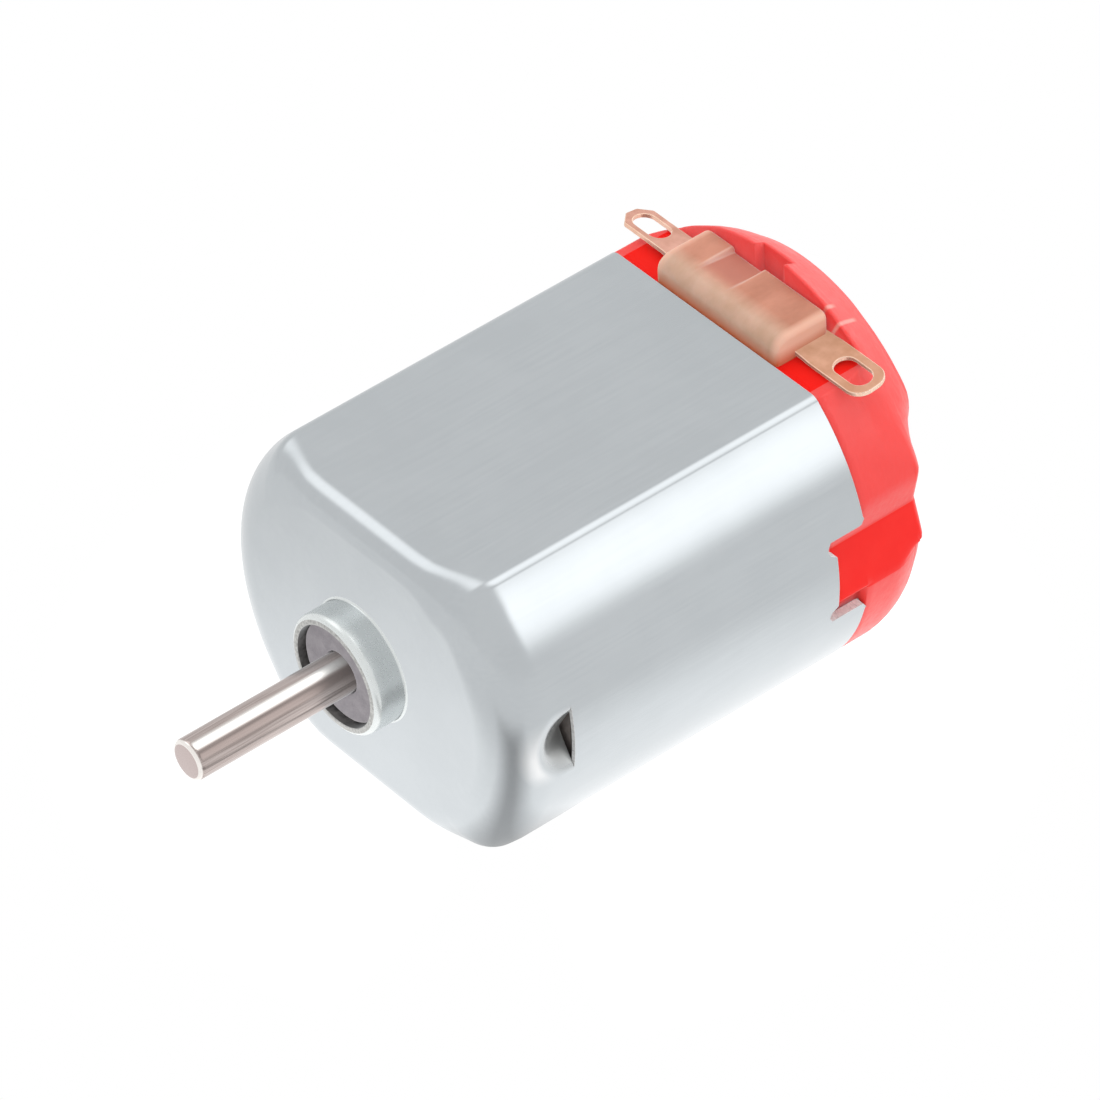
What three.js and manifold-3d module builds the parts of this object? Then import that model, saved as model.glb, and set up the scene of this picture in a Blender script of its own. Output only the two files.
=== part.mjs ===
// A small flat-sided brushed DC motor: steel can, moulded end cap, two terminals and a three-pole rotor.
// Millimetres, +Z up. The output shaft points along -Y and the motor rests on its lower flat, at z = 0.
// Pieces are drawn in the motor's own frame: the shaft axis is Y, and the can's front face is at y = 0.

import * as THREE from "three";
import { mergeVertices } from "three/addons/utils/BufferGeometryUtils.js";
import Module from "manifold-3d";

const wasm = await Module();
wasm.setup();

// ---- Driving dimensions ----

// Can: the body's section is two round sides cut by two flats.
const BODY_WIDTH = 20.1;
const BODY_HEIGHT = 15.1;
const BODY_SIDE_RADIUS = 10.2;
const BODY_CREASE_RADIUS = 0.7;
const CAN_LENGTH = 20.2;
const CAN_WALL = 0.5;
// The front edge is rounded more on the round sides than on the flats, and blends between the two.
const FRONT_EDGE_FLAT = 1.2;
const FRONT_EDGE_SIDE = 2.4;
const FRONT_EDGE_BLEND = [3.5, 7.5];

// Boss drawn out of the can's front face; it holds the front bearing.
const BOSS_HEIGHT = 1.65;
const BOSS_RADIUS = 2.95;
const BOSS_BORE = 2.5;
const BOSS_FILLET = 0.25;

// Stops pressed into the round sides; they locate the magnets.
const STOP_REAR = 3.5;
const STOP_DEPTH = 1.1;
const STOP_RADIUS = 1.85;

// Notches in the can's rear edge take the end cap's keys.
const NOTCH_DEPTH = 1.7;
const NOTCH_HALF_WIDTH = 2.25;
const NOTCH_RELIEF_RADIUS = 0.42;
const NOTCH_RELIEF_INSET = 0.35;

// End cap.
const CAP_REAR = 25.5;
const CAP_GAP = 0.02;
const CAP_INSET = 0.03;
const CAP_PLUG_LENGTH = 1.9;
const CAP_PLUG_CLEARANCE = 0.06;
const CAP_CAVITY_INSET = 1.9;
const CAP_CAVITY_REAR = 23.6;
const DOME_START = 21.2;
const DOME_RADIUS = 10.12;
const DOME_AXIAL = 6.0;
const DOME_STEPS = 7;
const DOME_RADIAL = 6.4;
const DOME_RADIAL_LOW = 9.0;
const LOW_BLEND_ANGLE = 7;
const BEVEL_START = 23.4;
const BEVEL_CURVE = 0.5;
const BEVEL_SLOPE = 1.9;
const DOME_SIDE_ANGLE = 16;
const DOME_TOP_ANGLE = 38;
const SEAT_HEIGHT = 7.42;
const WALL_FRONT = 23.4;
const WALL_NOTCH_HALF_WIDTH = 0.98;
const WALL_NOTCH_DEPTH = 0.55;
const CROWN_RISE = 0.06;
const CROWN_ANGLE = 68;
const SHOULDER_ANGLE = 62;
const GROOVE_TOP = [9.62, 3.15];
const GROOVE_BOTTOM = [9.2, 1.37];
const GROOVE_EDGE = [10.0, -1.25];
const GROOVE_FALL = 1.15;
const HUB_RADIUS = 3.4;
const HUB_LENGTH = 0.8;
const HUB_INNER_FRONT = 22.0;
const HUB_HOLE_RADIUS = 1.4;
const KEY_GAP = 0.05;

// Terminal block and terminals.
const BLOCK_HALF_WIDTH = 4.05;
const BLOCK_FRONT = 20.27;
const BLOCK_REAR = 23.3;
const BLOCK_TOP = 8.85;
const BLOCK_EDGE = 0.45;
const BLOCK_RECESS = { left: -2.2, right: -0.12, depth: 0.28, front: 20.85 };
const TERMINAL_WIDTH = 1.95;
const TERMINAL_THICKNESS = 0.3;
const TERMINAL_Y = 22.35;
const TERMINAL_BOTTOM = 7.52;
const TERMINAL_TIP = 8.2;
const TERMINAL_CHAMFER = 0.55;
const TERMINAL_SLOT = { centre: 6.72, length: 1.95, width: 1.05 };
const TERMINAL_LEG_X = 3.0;
const TERMINAL_LEG_END = 4.5;
const TERMINAL_FOOT_TOP = 5.6;
const SLOT_CLEARANCE = 0.1;

// Shaft and its bearings.
const SHAFT_RADIUS = 1.0;
const SHAFT_TIP = -9.7;
const SHAFT_END = 25.6;
const SHAFT_CHAMFER = 0.25;
const BEARING_RADIUS = 2.46;
const BEARING_BORE = 1.04;
const BEARING_LENGTH = 2.45;
const BEARING_RECESS = 0.4;
const REAR_BEARING_FRONT = 21.9;
const ROTOR_BORE = 1.03;

// Rotor.
const POLES = 3;
const PLATE_COUNT = 10;
const PLATE_PITCH = 0.96;
const PLATE_THICKNESS = 0.92;
const STACK_FRONT = 4.6;
const ROTOR_RADIUS = 6.35;
const SHOE_HALF_ANGLE = 50;
const SHOE_THICKNESS = 1.0;
const NECK_HALF_WIDTH = 1.15;
const PLATE_HUB_RADIUS = 2.9;
const INSULATOR_THICKNESS = 0.4;
const COIL_INNER = 3.1;
const COIL_OUTER = 4.6;
const COIL_HALF_WIDTH = 2.35;
const COIL_OVERHANG = 1.2;
const COMMUTATOR_RADIUS = 2.2;
const COMMUTATOR_FRONT = 17.2;
const COMMUTATOR_REAR = 20.9;
const SEGMENT_HALF_ANGLE = 56;

// Magnets and their spring.
const MAGNET_INNER = 6.75;
const MAGNET_OUTER = 9.42;
const MAGNET_HALF_ANGLE = 44;
const MAGNET_FRONT = 3.8;
const MAGNET_REAR = 15.4;

// Brushes.
const BRUSH_Y = 19.1;
const BRUSH_WIDTH = 2.0;
const BRUSH_HEIGHT = 1.8;
const BRUSH_GAP = 0.06;
const BRUSH_ARM_X = 3.34;
const BRUSH_ARM_THICKNESS = 0.15;
const BRUSH_ARM_TOP = 5.5;
const BRUSH_ARM_BOTTOM = -1.6;
const BRUSH_ARM_CURL = 0.8;

const ROUND_SEGMENTS = 40;
const SMALL_SEGMENTS = 24;
const BEARING_SEGMENTS = 28;

// Cutters reach past the whole motor in every direction.
const FAR = 14;

// ---- Solids: three.js geometry in, manifold-3d only joins and cuts ----

function solid(geometry) {
  const bare = geometry.clone();
  bare.deleteAttribute("normal");
  bare.deleteAttribute("uv");
  const merged = mergeVertices(bare, 1e-4);
  return new wasm.Manifold(
    new wasm.Mesh({
      numProp: 3,
      vertProperties: merged.attributes.position.array,
      triVerts: new Uint32Array(merged.index.array),
    }),
  );
}

function join(first, ...others) {
  return others.reduce((sum, other) => sum.add(other), first);
}

function cut(first, ...others) {
  return others.reduce((rest, other) => rest.subtract(other), first);
}

// A piece drawn on the right, or its mirror image on the left.
function mirrored(shape, side) {
  return side > 0 ? shape : shape.mirror([1, 0, 0]);
}

function geometryOf(shape) {
  const mesh = shape.getMesh();
  return new THREE.BufferGeometry()
    .setAttribute("position", new THREE.BufferAttribute(new Float32Array(mesh.vertProperties), 3))
    .setIndex(new THREE.BufferAttribute(new Uint32Array(mesh.triVerts), 1));
}

// ---- Basic forms ----

// A shape drawn in X and Z, extruded along Y from y0 to y1.
function alongY(shape, y0, y1, curveSegments = 8) {
  const geometry = new THREE.ExtrudeGeometry(shape, { depth: y1 - y0, bevelEnabled: false, curveSegments });
  return solid(geometry.rotateX(Math.PI / 2).translate(0, y1, 0));
}

function box(x, y, z) {
  const geometry = new THREE.BoxGeometry(x[1] - x[0], y[1] - y[0], z[1] - z[0]);
  return solid(geometry.translate((x[0] + x[1]) / 2, (y[0] + y[1]) / 2, (z[0] + z[1]) / 2));
}

// A closed profile of [radius, y] points turned about the shaft axis.
function turned(profile, segments = ROUND_SEGMENTS) {
  const points = profile.map(([radius, y]) => new THREE.Vector2(radius, y));
  points.push(points[0].clone());
  return solid(new THREE.LatheGeometry(points, segments));
}

function ring(inner, outer, y0, y1, segments) {
  const profile = [
    [inner, y0],
    [outer, y0],
    [outer, y1],
    [inner, y1],
  ];
  return turned(profile, segments);
}

function disc(radius, y0, y1, segments) {
  const profile = [
    [0, y0],
    [radius, y0],
    [radius, y1],
    [0, y1],
  ];
  return turned(profile, segments);
}

function polygon(points) {
  return new THREE.Shape(points.map(([x, y]) => new THREE.Vector2(x, y)));
}

function arcPoints(radius, fromDegrees, toDegrees, steps) {
  return Array.from({ length: steps + 1 }, (_, i) => {
    const angle = THREE.MathUtils.degToRad(fromDegrees + ((toDegrees - fromDegrees) * i) / steps);
    return [radius * Math.cos(angle), radius * Math.sin(angle)];
  });
}

// ---- The body's outline ----

// Points of the outline, moved inwards by inset: right side, top flat, left side, bottom flat.
function bodyOutline(inset, creaseRadius = BODY_CREASE_RADIUS) {
  const sideCentre = BODY_WIDTH / 2 - BODY_SIDE_RADIUS;
  const side = BODY_SIDE_RADIUS - inset;
  const flat = BODY_HEIGHT / 2 - inset;
  const crease = Math.max(creaseRadius, 0.2);
  const creaseX = sideCentre + Math.sqrt((side - crease) ** 2 - (flat - crease) ** 2);
  const sideAngle = Math.atan2(flat - crease, creaseX - sideCentre);
  const quarter = [];
  const sideSteps = 8;
  for (let i = 0; i <= sideSteps; i++) {
    const angle = (sideAngle * i) / sideSteps;
    quarter.push([sideCentre + side * Math.cos(angle), side * Math.sin(angle)]);
  }
  const creaseSteps = 3;
  for (let i = 1; i <= creaseSteps; i++) {
    const angle = sideAngle + ((Math.PI / 2 - sideAngle) * i) / creaseSteps;
    quarter.push([creaseX + crease * Math.cos(angle), flat - crease + crease * Math.sin(angle)]);
  }
  for (const share of [0.83, 0.64, 0.35]) quarter.push([creaseX * share, flat]);
  const left = quarter.map(([x, z]) => [-x, z]).reverse();
  const upper = [...quarter, ...left];
  const lower = upper.map(([x, z]) => [-x, -z]);
  return [...upper, ...lower.slice(1, -1)];
}

// A solid between rings of equal point count. A ring is a list of [x, y, z]; the first and last are flat.
function lofted(rings) {
  const count = rings[0].length;
  const index = [];
  for (let r = 0; r + 1 < rings.length; r++) {
    for (let i = 0; i < count; i++) {
      const a = r * count + i;
      const b = r * count + ((i + 1) % count);
      index.push(a, a + count, b, b, a + count, b + count);
    }
  }
  const contour = rings[0].map(([x, , z]) => new THREE.Vector2(x, z));
  const caps = THREE.ShapeUtils.triangulateShape(contour, []);
  const last = (rings.length - 1) * count;
  for (const [a, b, c] of caps) {
    index.push(a, b, c);
    index.push(last + a, last + c, last + b);
  }
  const geometry = new THREE.BufferGeometry();
  geometry.setAttribute("position", new THREE.Float32BufferAttribute(rings.flat(2), 3));
  geometry.setIndex(index);
  return solid(geometry);
}

// The body's form from y0 to y1 with its front edge rounded; the creases soften towards the front.
function roundedBody(inset, y0, y1) {
  const steps = 5;
  const base = bodyOutline(inset);
  const rings = [];
  for (let i = 0; i <= steps; i++) {
    const angle = (Math.PI / 2) * (i / steps);
    rings.push(base.map(([baseX], k) => {
      const blend = THREE.MathUtils.smoothstep(Math.abs(baseX), ...FRONT_EDGE_BLEND);
      const radius = THREE.MathUtils.lerp(FRONT_EDGE_FLAT, FRONT_EDGE_SIDE, blend) - inset;
      const moved = radius * (1 - Math.sin(angle));
      const [x, z] = bodyOutline(inset + moved, BODY_CREASE_RADIUS + 0.5 * moved)[k];
      return [x, y0 + radius * (1 - Math.cos(angle)), z];
    }));
  }
  rings.push(base.map(([x, z]) => [x, y1, z]));
  return lofted(rings);
}

function bodyPrism(inset, y0, y1) {
  return alongY(polygon(bodyOutline(inset)), y0, y1);
}

// ---- Stator ----

// Half a cone pressed into a round side, with its flat side facing the rear.
function stopCone(side, depth, radius) {
  const slope = radius / depth;
  const outside = 0.6;
  const height = depth + outside;
  const cone = new THREE.ConeGeometry(height * slope, height, SMALL_SEGMENTS);
  cone.rotateZ(Math.PI / 2).translate(BODY_WIDTH / 2 + outside - height / 2, STOP_REAR, 0);
  if (side < 0) cone.rotateZ(Math.PI).translate(0, 2 * STOP_REAR, 0);
  return cut(solid(cone), box([-FAR, FAR], [STOP_REAR, FAR], [-FAR, FAR]));
}

function makeCan() {
  const outer = roundedBody(0, 0, CAN_LENGTH);
  const inner = roundedBody(CAN_WALL, CAN_WALL, CAN_LENGTH + 1);
  const rim = 0.1;
  const filletSteps = 3;
  const fillet = Array.from({ length: filletSteps + 1 }, (_, i) => {
    const angle = (Math.PI / 2) * (i / filletSteps);
    return [BOSS_RADIUS + BOSS_FILLET * (1 - Math.cos(angle)), -BOSS_FILLET * (1 - Math.sin(angle))];
  });
  const rootRear = CAN_WALL + 0.05;
  const boss = turned([
    [BOSS_BORE, -BOSS_HEIGHT],
    [BOSS_RADIUS - rim, -BOSS_HEIGHT],
    [BOSS_RADIUS, -BOSS_HEIGHT + rim],
    ...fillet,
    [BOSS_RADIUS + BOSS_FILLET, rootRear],
    [BOSS_BORE, rootRear],
  ]);
  const frontHole = disc(BOSS_RADIUS, -1, CAN_WALL + 1);
  const stopWall = CAN_WALL * 0.9;
  const scale = (STOP_DEPTH + stopWall) / STOP_DEPTH;
  let can = cut(outer, inner, frontHole);
  for (const side of [-1, 1]) {
    const bulge = stopCone(side, STOP_DEPTH + stopWall, STOP_RADIUS * scale).intersect(outer);
    can = cut(join(can, bulge), stopCone(side, STOP_DEPTH, STOP_RADIUS));
  }
  can = join(can, boss);
  const notchFront = CAN_LENGTH - NOTCH_DEPTH;
  const notch = box([-FAR, FAR], [notchFront, CAN_LENGTH + 1], [-NOTCH_HALF_WIDTH, NOTCH_HALF_WIDTH]);
  const reliefs = [-1, 1].map((end) => {
    const relief = new THREE.CylinderGeometry(NOTCH_RELIEF_RADIUS, NOTCH_RELIEF_RADIUS, 2 * FAR, 12);
    const height = end * (NOTCH_HALF_WIDTH - NOTCH_RELIEF_INSET);
    return solid(relief.rotateZ(Math.PI / 2).translate(0, notchFront, height));
  });
  return cut(can, notch, ...reliefs);
}

// How far the sides of the cap's rear have fallen inwards at y: a short curve into a straight bevel.
function bevelDrop(y) {
  const along = THREE.MathUtils.clamp(y - BEVEL_START, 0, CAP_REAR - BEVEL_START);
  if (along < BEVEL_CURVE) return (BEVEL_SLOPE * along * along) / (2 * BEVEL_CURVE);
  return BEVEL_SLOPE * (along - BEVEL_CURVE / 2);
}

// The radius of the cap's rear at y in the direction given by angle. It is an elliptical rounding over the
// top and bottom, and a bevel on the sides, which starts more gently below the middle.
function domeRadius(y, angle) {
  const lean = THREE.MathUtils.radToDeg(Math.asin(Math.sin(angle)));
  const blend = THREE.MathUtils.smoothstep(Math.abs(lean), DOME_SIDE_ANGLE, DOME_TOP_ANGLE);
  const lower = THREE.MathUtils.smoothstep(-lean, 0, LOW_BLEND_ANGLE);
  const along = THREE.MathUtils.clamp(y - DOME_START, 0, CAP_REAR - DOME_START) / DOME_AXIAL;
  const fall = 1 - Math.sqrt(1 - along * along);
  const bevel = bevelDrop(y);
  const side = THREE.MathUtils.lerp(bevel, Math.max(bevel, DOME_RADIAL_LOW * fall), lower);
  return DOME_RADIUS - THREE.MathUtils.lerp(side, DOME_RADIAL * fall, blend);
}

// The places along the shaft axis where the dome's profile has a corner.
function domeStations() {
  const last = Math.asin((CAP_REAR - DOME_START) / DOME_AXIAL);
  const stations = [CAN_LENGTH + CAP_GAP];
  for (let i = 0; i <= DOME_STEPS; i++) {
    stations.push(DOME_START + DOME_AXIAL * Math.sin((last * i) / DOME_STEPS));
  }
  return stations;
}

// Directions round the shaft axis for the cap's rounded rear, with two at each end of the crown.
function domeDirections() {
  const quarter = [];
  const sideSteps = 10;
  for (let i = 0; i <= sideSteps; i++) quarter.push((SHOULDER_ANGLE * i) / sideSteps);
  const crownSteps = 3;
  for (let i = 0; i <= crownSteps; i++) quarter.push(CROWN_ANGLE + ((90 - CROWN_ANGLE) * i) / crownSteps);
  const upper = [...quarter, ...quarter.slice(0, -1).reverse().map((angle) => 180 - angle)];
  return [...upper, ...upper.slice(1, -1).map((angle) => angle + 180)];
}

// The cap's rounded rear, which ends on a flat rear face. Its crown, the middle of the top, stands a
// little proud of the shoulders either side of it.
function capDome() {
  const rings = domeStations().map((y) => {
    return domeDirections().map((direction) => {
      const inCrown = direction >= CROWN_ANGLE && direction <= 180 - CROWN_ANGLE;
      const angle = THREE.MathUtils.degToRad(direction);
      const reach = domeRadius(y, angle) + (inCrown ? CROWN_RISE : 0);
      return [reach * Math.cos(angle), y, reach * Math.sin(angle)];
    });
  });
  return lofted(rings);
}

// The wedge that cuts the side groove. It shrinks a little faster than the bevel behind it, so the groove
// deepens as it runs on to the rear face.
function grooveWedge(front) {
  const edgeHeight = GROOVE_EDGE[1];
  const open = [GROOVE_TOP, GROOVE_BOTTOM, GROOVE_EDGE, [FAR, edgeHeight], [FAR, GROOVE_TOP[1]]];
  const rings = [front, ...domeStations(), CAP_REAR + 1].map((y) => {
    const scale = 1 - (GROOVE_FALL * bevelDrop(y)) / DOME_RADIUS;
    return open.map(([x, z]) => [scale * x, y, scale * z]);
  });
  return lofted(rings);
}

function makeEndCap() {
  const rear = CAP_REAR + HUB_LENGTH + 1;
  const notchFront = CAN_LENGTH - NOTCH_DEPTH + KEY_GAP;
  const outline = bodyPrism(CAP_INSET, CAN_LENGTH + CAP_GAP, rear);
  const wall = box([-FAR, FAR], [WALL_FRONT, rear], [0, FAR]);
  const seat = box([-FAR, FAR], [0, WALL_FRONT], [SEAT_HEIGHT, FAR]);
  const wallNotch = box(
    [-WALL_NOTCH_HALF_WIDTH, WALL_NOTCH_HALF_WIDTH],
    [0, WALL_FRONT + WALL_NOTCH_DEPTH],
    [SEAT_HEIGHT, FAR],
  );
  const plugFront = CAN_LENGTH - CAP_PLUG_LENGTH;
  const plug = bodyPrism(CAN_WALL + CAP_PLUG_CLEARANCE, plugFront, CAN_LENGTH + 0.5);
  let cap = cut(join(capDome().intersect(join(outline, wall)), plug), seat, wallNotch);
  for (const side of [-1, 1]) {
    const keyTop = NOTCH_HALF_WIDTH - KEY_GAP;
    const lean = (GROOVE_TOP[0] - GROOVE_BOTTOM[0]) / (GROOVE_TOP[1] - GROOVE_BOTTOM[1]);
    const keyTopX = GROOVE_BOTTOM[0] + lean * (keyTop - GROOVE_BOTTOM[1]);
    const root = GROOVE_BOTTOM[0] - 1;
    const key = [[root, GROOVE_EDGE[1]], GROOVE_EDGE, GROOVE_BOTTOM, [keyTopX, keyTop], [root, keyTop]];
    cap = cut(cap, mirrored(grooveWedge(notchFront), side));
    cap = join(cap, mirrored(alongY(polygon(key), notchFront, CAN_LENGTH + 0.5), side));
  }
  cap = cut(cap, bodyPrism(CAP_CAVITY_INSET, plugFront - 1, CAP_CAVITY_REAR));
  cap = join(
    cap,
    disc(HUB_RADIUS, HUB_INNER_FRONT, CAP_CAVITY_REAR + 0.5),
    disc(HUB_RADIUS, CAP_REAR - 0.5, CAP_REAR + HUB_LENGTH),
  );
  const bearingRear = REAR_BEARING_FRONT + BEARING_LENGTH;
  cap = cut(
    cap,
    disc(BOSS_BORE, HUB_INNER_FRONT - 1, bearingRear + CAP_GAP),
    disc(HUB_HOLE_RADIUS, bearingRear - 1, rear, SMALL_SEGMENTS),
  );
  for (const side of [-1, 1]) {
    const slot = box(
      [TERMINAL_LEG_X - SLOT_CLEARANCE, TERMINAL_LEG_X + TERMINAL_THICKNESS + SLOT_CLEARANCE],
      [TERMINAL_Y - TERMINAL_WIDTH / 2 - SLOT_CLEARANCE, TERMINAL_Y + TERMINAL_WIDTH / 2 + SLOT_CLEARANCE],
      [TERMINAL_LEG_END, FAR],
    );
    cap = cut(cap, mirrored(slot, side));
  }
  return cap;
}

// A copper terminal: a slotted tab outside the cap, and a leg that goes down through the cap's top wall.
function makeTerminal(side) {
  const halfWidth = TERMINAL_WIDTH / 2;
  const tab = new THREE.Shape();
  tab.moveTo(TERMINAL_LEG_X, -halfWidth);
  tab.lineTo(TERMINAL_TIP - TERMINAL_CHAMFER, -halfWidth);
  tab.lineTo(TERMINAL_TIP, -halfWidth + TERMINAL_CHAMFER);
  tab.lineTo(TERMINAL_TIP, halfWidth - TERMINAL_CHAMFER);
  tab.lineTo(TERMINAL_TIP - TERMINAL_CHAMFER, halfWidth);
  tab.lineTo(TERMINAL_LEG_X, halfWidth);
  const slotRadius = TERMINAL_SLOT.width / 2;
  const slotReach = TERMINAL_SLOT.length / 2 - slotRadius;
  const slot = new THREE.Path();
  slot.absarc(TERMINAL_SLOT.centre + slotReach, 0, slotRadius, -Math.PI / 2, Math.PI / 2, false);
  slot.absarc(TERMINAL_SLOT.centre - slotReach, 0, slotRadius, Math.PI / 2, (3 * Math.PI) / 2, false);
  tab.holes.push(slot);
  const sheet = { depth: TERMINAL_THICKNESS, bevelEnabled: false, curveSegments: 8 };
  const tabSolid = solid(new THREE.ExtrudeGeometry(tab, sheet).translate(0, TERMINAL_Y, TERMINAL_BOTTOM));
  const legX = [TERMINAL_LEG_X, TERMINAL_LEG_X + TERMINAL_THICKNESS];
  const top = TERMINAL_BOTTOM + TERMINAL_THICKNESS;
  const leg = box(legX, [TERMINAL_Y - halfWidth, TERMINAL_Y + halfWidth], [TERMINAL_LEG_END, top]);
  const foot = box(legX, [BRUSH_Y - BRUSH_WIDTH / 2, TERMINAL_Y], [TERMINAL_LEG_END, TERMINAL_FOOT_TOP]);
  const terminal = join(tabSolid, leg, foot);
  return mirrored(terminal, side);
}

// The moulded block covers the terminals' roots; its top has a shallow recess off to one side.
function makeTerminalBlock() {
  const inner = new THREE.Shape();
  const radius = 0.5;
  const x = BLOCK_HALF_WIDTH - BLOCK_EDGE;
  const y0 = BLOCK_FRONT + BLOCK_EDGE;
  const y1 = BLOCK_REAR - BLOCK_EDGE;
  inner.absarc(x - radius, y0 + radius, radius, -Math.PI / 2, 0, false);
  inner.absarc(x - radius, y1 - radius, radius, 0, Math.PI / 2, false);
  inner.absarc(-x + radius, y1 - radius, radius, Math.PI / 2, Math.PI, false);
  inner.absarc(-x + radius, y0 + radius, radius, Math.PI, (3 * Math.PI) / 2, false);
  const floor = SEAT_HEIGHT + CAP_GAP;
  const rounded = new THREE.ExtrudeGeometry(inner, {
    depth: 2,
    curveSegments: 5,
    bevelThickness: BLOCK_EDGE,
    bevelSize: BLOCK_EDGE,
    bevelSegments: 4,
  });
  rounded.translate(0, 0, BLOCK_TOP - BLOCK_EDGE - 2);
  const recess = box(
    [BLOCK_RECESS.left, BLOCK_RECESS.right],
    [BLOCK_RECESS.front, BLOCK_REAR + 1],
    [BLOCK_TOP - BLOCK_RECESS.depth, BLOCK_TOP + 1],
  );
  const below = box([-FAR, FAR], [0, 2 * FAR], [0, floor]);
  const passages = [-1, 1].map((side) => {
    const passage = box(
      [TERMINAL_LEG_X - SLOT_CLEARANCE, BLOCK_HALF_WIDTH + 1],
      [TERMINAL_Y - TERMINAL_WIDTH / 2 - CAP_GAP, BLOCK_REAR + 1],
      [0, TERMINAL_BOTTOM + TERMINAL_THICKNESS + CAP_GAP],
    );
    return mirrored(passage, side);
  });
  return cut(solid(rounded), below, recess, ...passages);
}

function makeBearing() {
  const chamfer = 0.2;
  const profile = [
    [BEARING_BORE + chamfer, 0],
    [BEARING_RADIUS - chamfer, 0],
    [BEARING_RADIUS, chamfer],
    [BEARING_RADIUS, BEARING_LENGTH - chamfer],
    [BEARING_RADIUS - chamfer, BEARING_LENGTH],
    [BEARING_BORE + chamfer, BEARING_LENGTH],
    [BEARING_BORE, BEARING_LENGTH - chamfer],
    [BEARING_BORE, chamfer],
  ];
  return turned(profile, BEARING_SEGMENTS);
}

function makeMagnet() {
  const outer = arcPoints(MAGNET_OUTER, -MAGNET_HALF_ANGLE, MAGNET_HALF_ANGLE, 12);
  const inner = arcPoints(MAGNET_INNER, MAGNET_HALF_ANGLE, -MAGNET_HALF_ANGLE, 12);
  return alongY(polygon([...outer, ...inner]), MAGNET_FRONT, MAGNET_REAR);
}

// A bent steel strip on the lower flat; its two legs press the magnets' lower ends apart.
function makeMagnetSpring() {
  const thickness = 0.3;
  const floor = -(BODY_HEIGHT / 2 - CAN_WALL) + 0.05;
  const bendX = 3.6;
  const footX = 4.72;
  const footRise = 1.55;
  const outer = [
    [-footX, floor + footRise],
    [-bendX, floor],
    [bendX, floor],
    [footX, floor + footRise],
  ];
  const inner = [
    [footX - thickness, floor + footRise + 0.1],
    [bendX - thickness / 2, floor + thickness],
    [-bendX + thickness / 2, floor + thickness],
    [-footX + thickness, floor + footRise + 0.1],
  ];
  const inset = 1.5;
  return alongY(polygon([...outer, ...inner]), MAGNET_FRONT + inset, MAGNET_REAR - inset);
}

// A brush arm hangs from its terminal's foot; the brush faces the commutator.
function makeBrushArm(side) {
  const arm = box(
    [BRUSH_ARM_X, BRUSH_ARM_X + BRUSH_ARM_THICKNESS],
    [BRUSH_Y - BRUSH_WIDTH / 2, BRUSH_Y + BRUSH_WIDTH / 2],
    [BRUSH_ARM_BOTTOM, BRUSH_ARM_TOP],
  );
  // The free end curls outwards.
  const curl = box(
    [BRUSH_ARM_X, BRUSH_ARM_X + BRUSH_ARM_CURL],
    [BRUSH_Y - BRUSH_WIDTH / 2, BRUSH_Y + BRUSH_WIDTH / 2],
    [BRUSH_ARM_BOTTOM, BRUSH_ARM_BOTTOM + BRUSH_ARM_THICKNESS],
  );
  return mirrored(join(arm, curl), side);
}

function makeBrush(side) {
  const inner = COMMUTATOR_RADIUS * Math.cos(Math.asin(BRUSH_HEIGHT / 2 / COMMUTATOR_RADIUS)) + BRUSH_GAP;
  const block = box(
    [inner, BRUSH_ARM_X - CAP_GAP],
    [BRUSH_Y - BRUSH_WIDTH / 2 + 0.1, BRUSH_Y + BRUSH_WIDTH / 2 - 0.1],
    [-BRUSH_HEIGHT / 2, BRUSH_HEIGHT / 2],
  );
  const hollow = disc(COMMUTATOR_RADIUS + BRUSH_GAP, BRUSH_Y - BRUSH_WIDTH, BRUSH_Y + BRUSH_WIDTH);
  return mirrored(cut(block, hollow), side);
}

// ---- Rotor ----

function makeShaft() {
  return turned([
    [0, SHAFT_TIP],
    [SHAFT_RADIUS - SHAFT_CHAMFER, SHAFT_TIP],
    [SHAFT_RADIUS, SHAFT_TIP + SHAFT_CHAMFER],
    [SHAFT_RADIUS, SHAFT_END - SHAFT_CHAMFER],
    [SHAFT_RADIUS - SHAFT_CHAMFER, SHAFT_END],
    [0, SHAFT_END],
  ], 32);
}

// One three-pole plate: each pole is a neck on the hub with a curved shoe.
function poleOutline(rotorRadius) {
  const points = [];
  for (let pole = 0; pole < POLES; pole++) {
    const turn = (360 * pole) / POLES + 90;
    const shoeInner = rotorRadius - SHOE_THICKNESS;
    const neckAt = (radius) => THREE.MathUtils.radToDeg(Math.asin(NECK_HALF_WIDTH / radius));
    const hubAngle = neckAt(PLATE_HUB_RADIUS);
    const shoeAngle = neckAt(shoeInner);
    const next = 360 / POLES - hubAngle;
    const shoeEnd = SHOE_HALF_ANGLE - 2;
    points.push(...arcPoints(shoeInner, turn - shoeAngle, turn - shoeEnd, 2));
    points.push(...arcPoints(rotorRadius, turn - SHOE_HALF_ANGLE, turn + SHOE_HALF_ANGLE, 7));
    points.push(...arcPoints(shoeInner, turn + shoeEnd, turn + shoeAngle, 2));
    points.push(...arcPoints(PLATE_HUB_RADIUS, turn + hubAngle, turn + next, 2));
  }
  return points;
}

function makePlate(rotorRadius, y0, thickness) {
  const shape = polygon(poleOutline(rotorRadius));
  shape.holes.push(new THREE.Path().absarc(0, 0, ROTOR_BORE, 0, Math.PI * 2, true));
  return alongY(shape, y0, y0 + thickness, 6);
}

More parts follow.
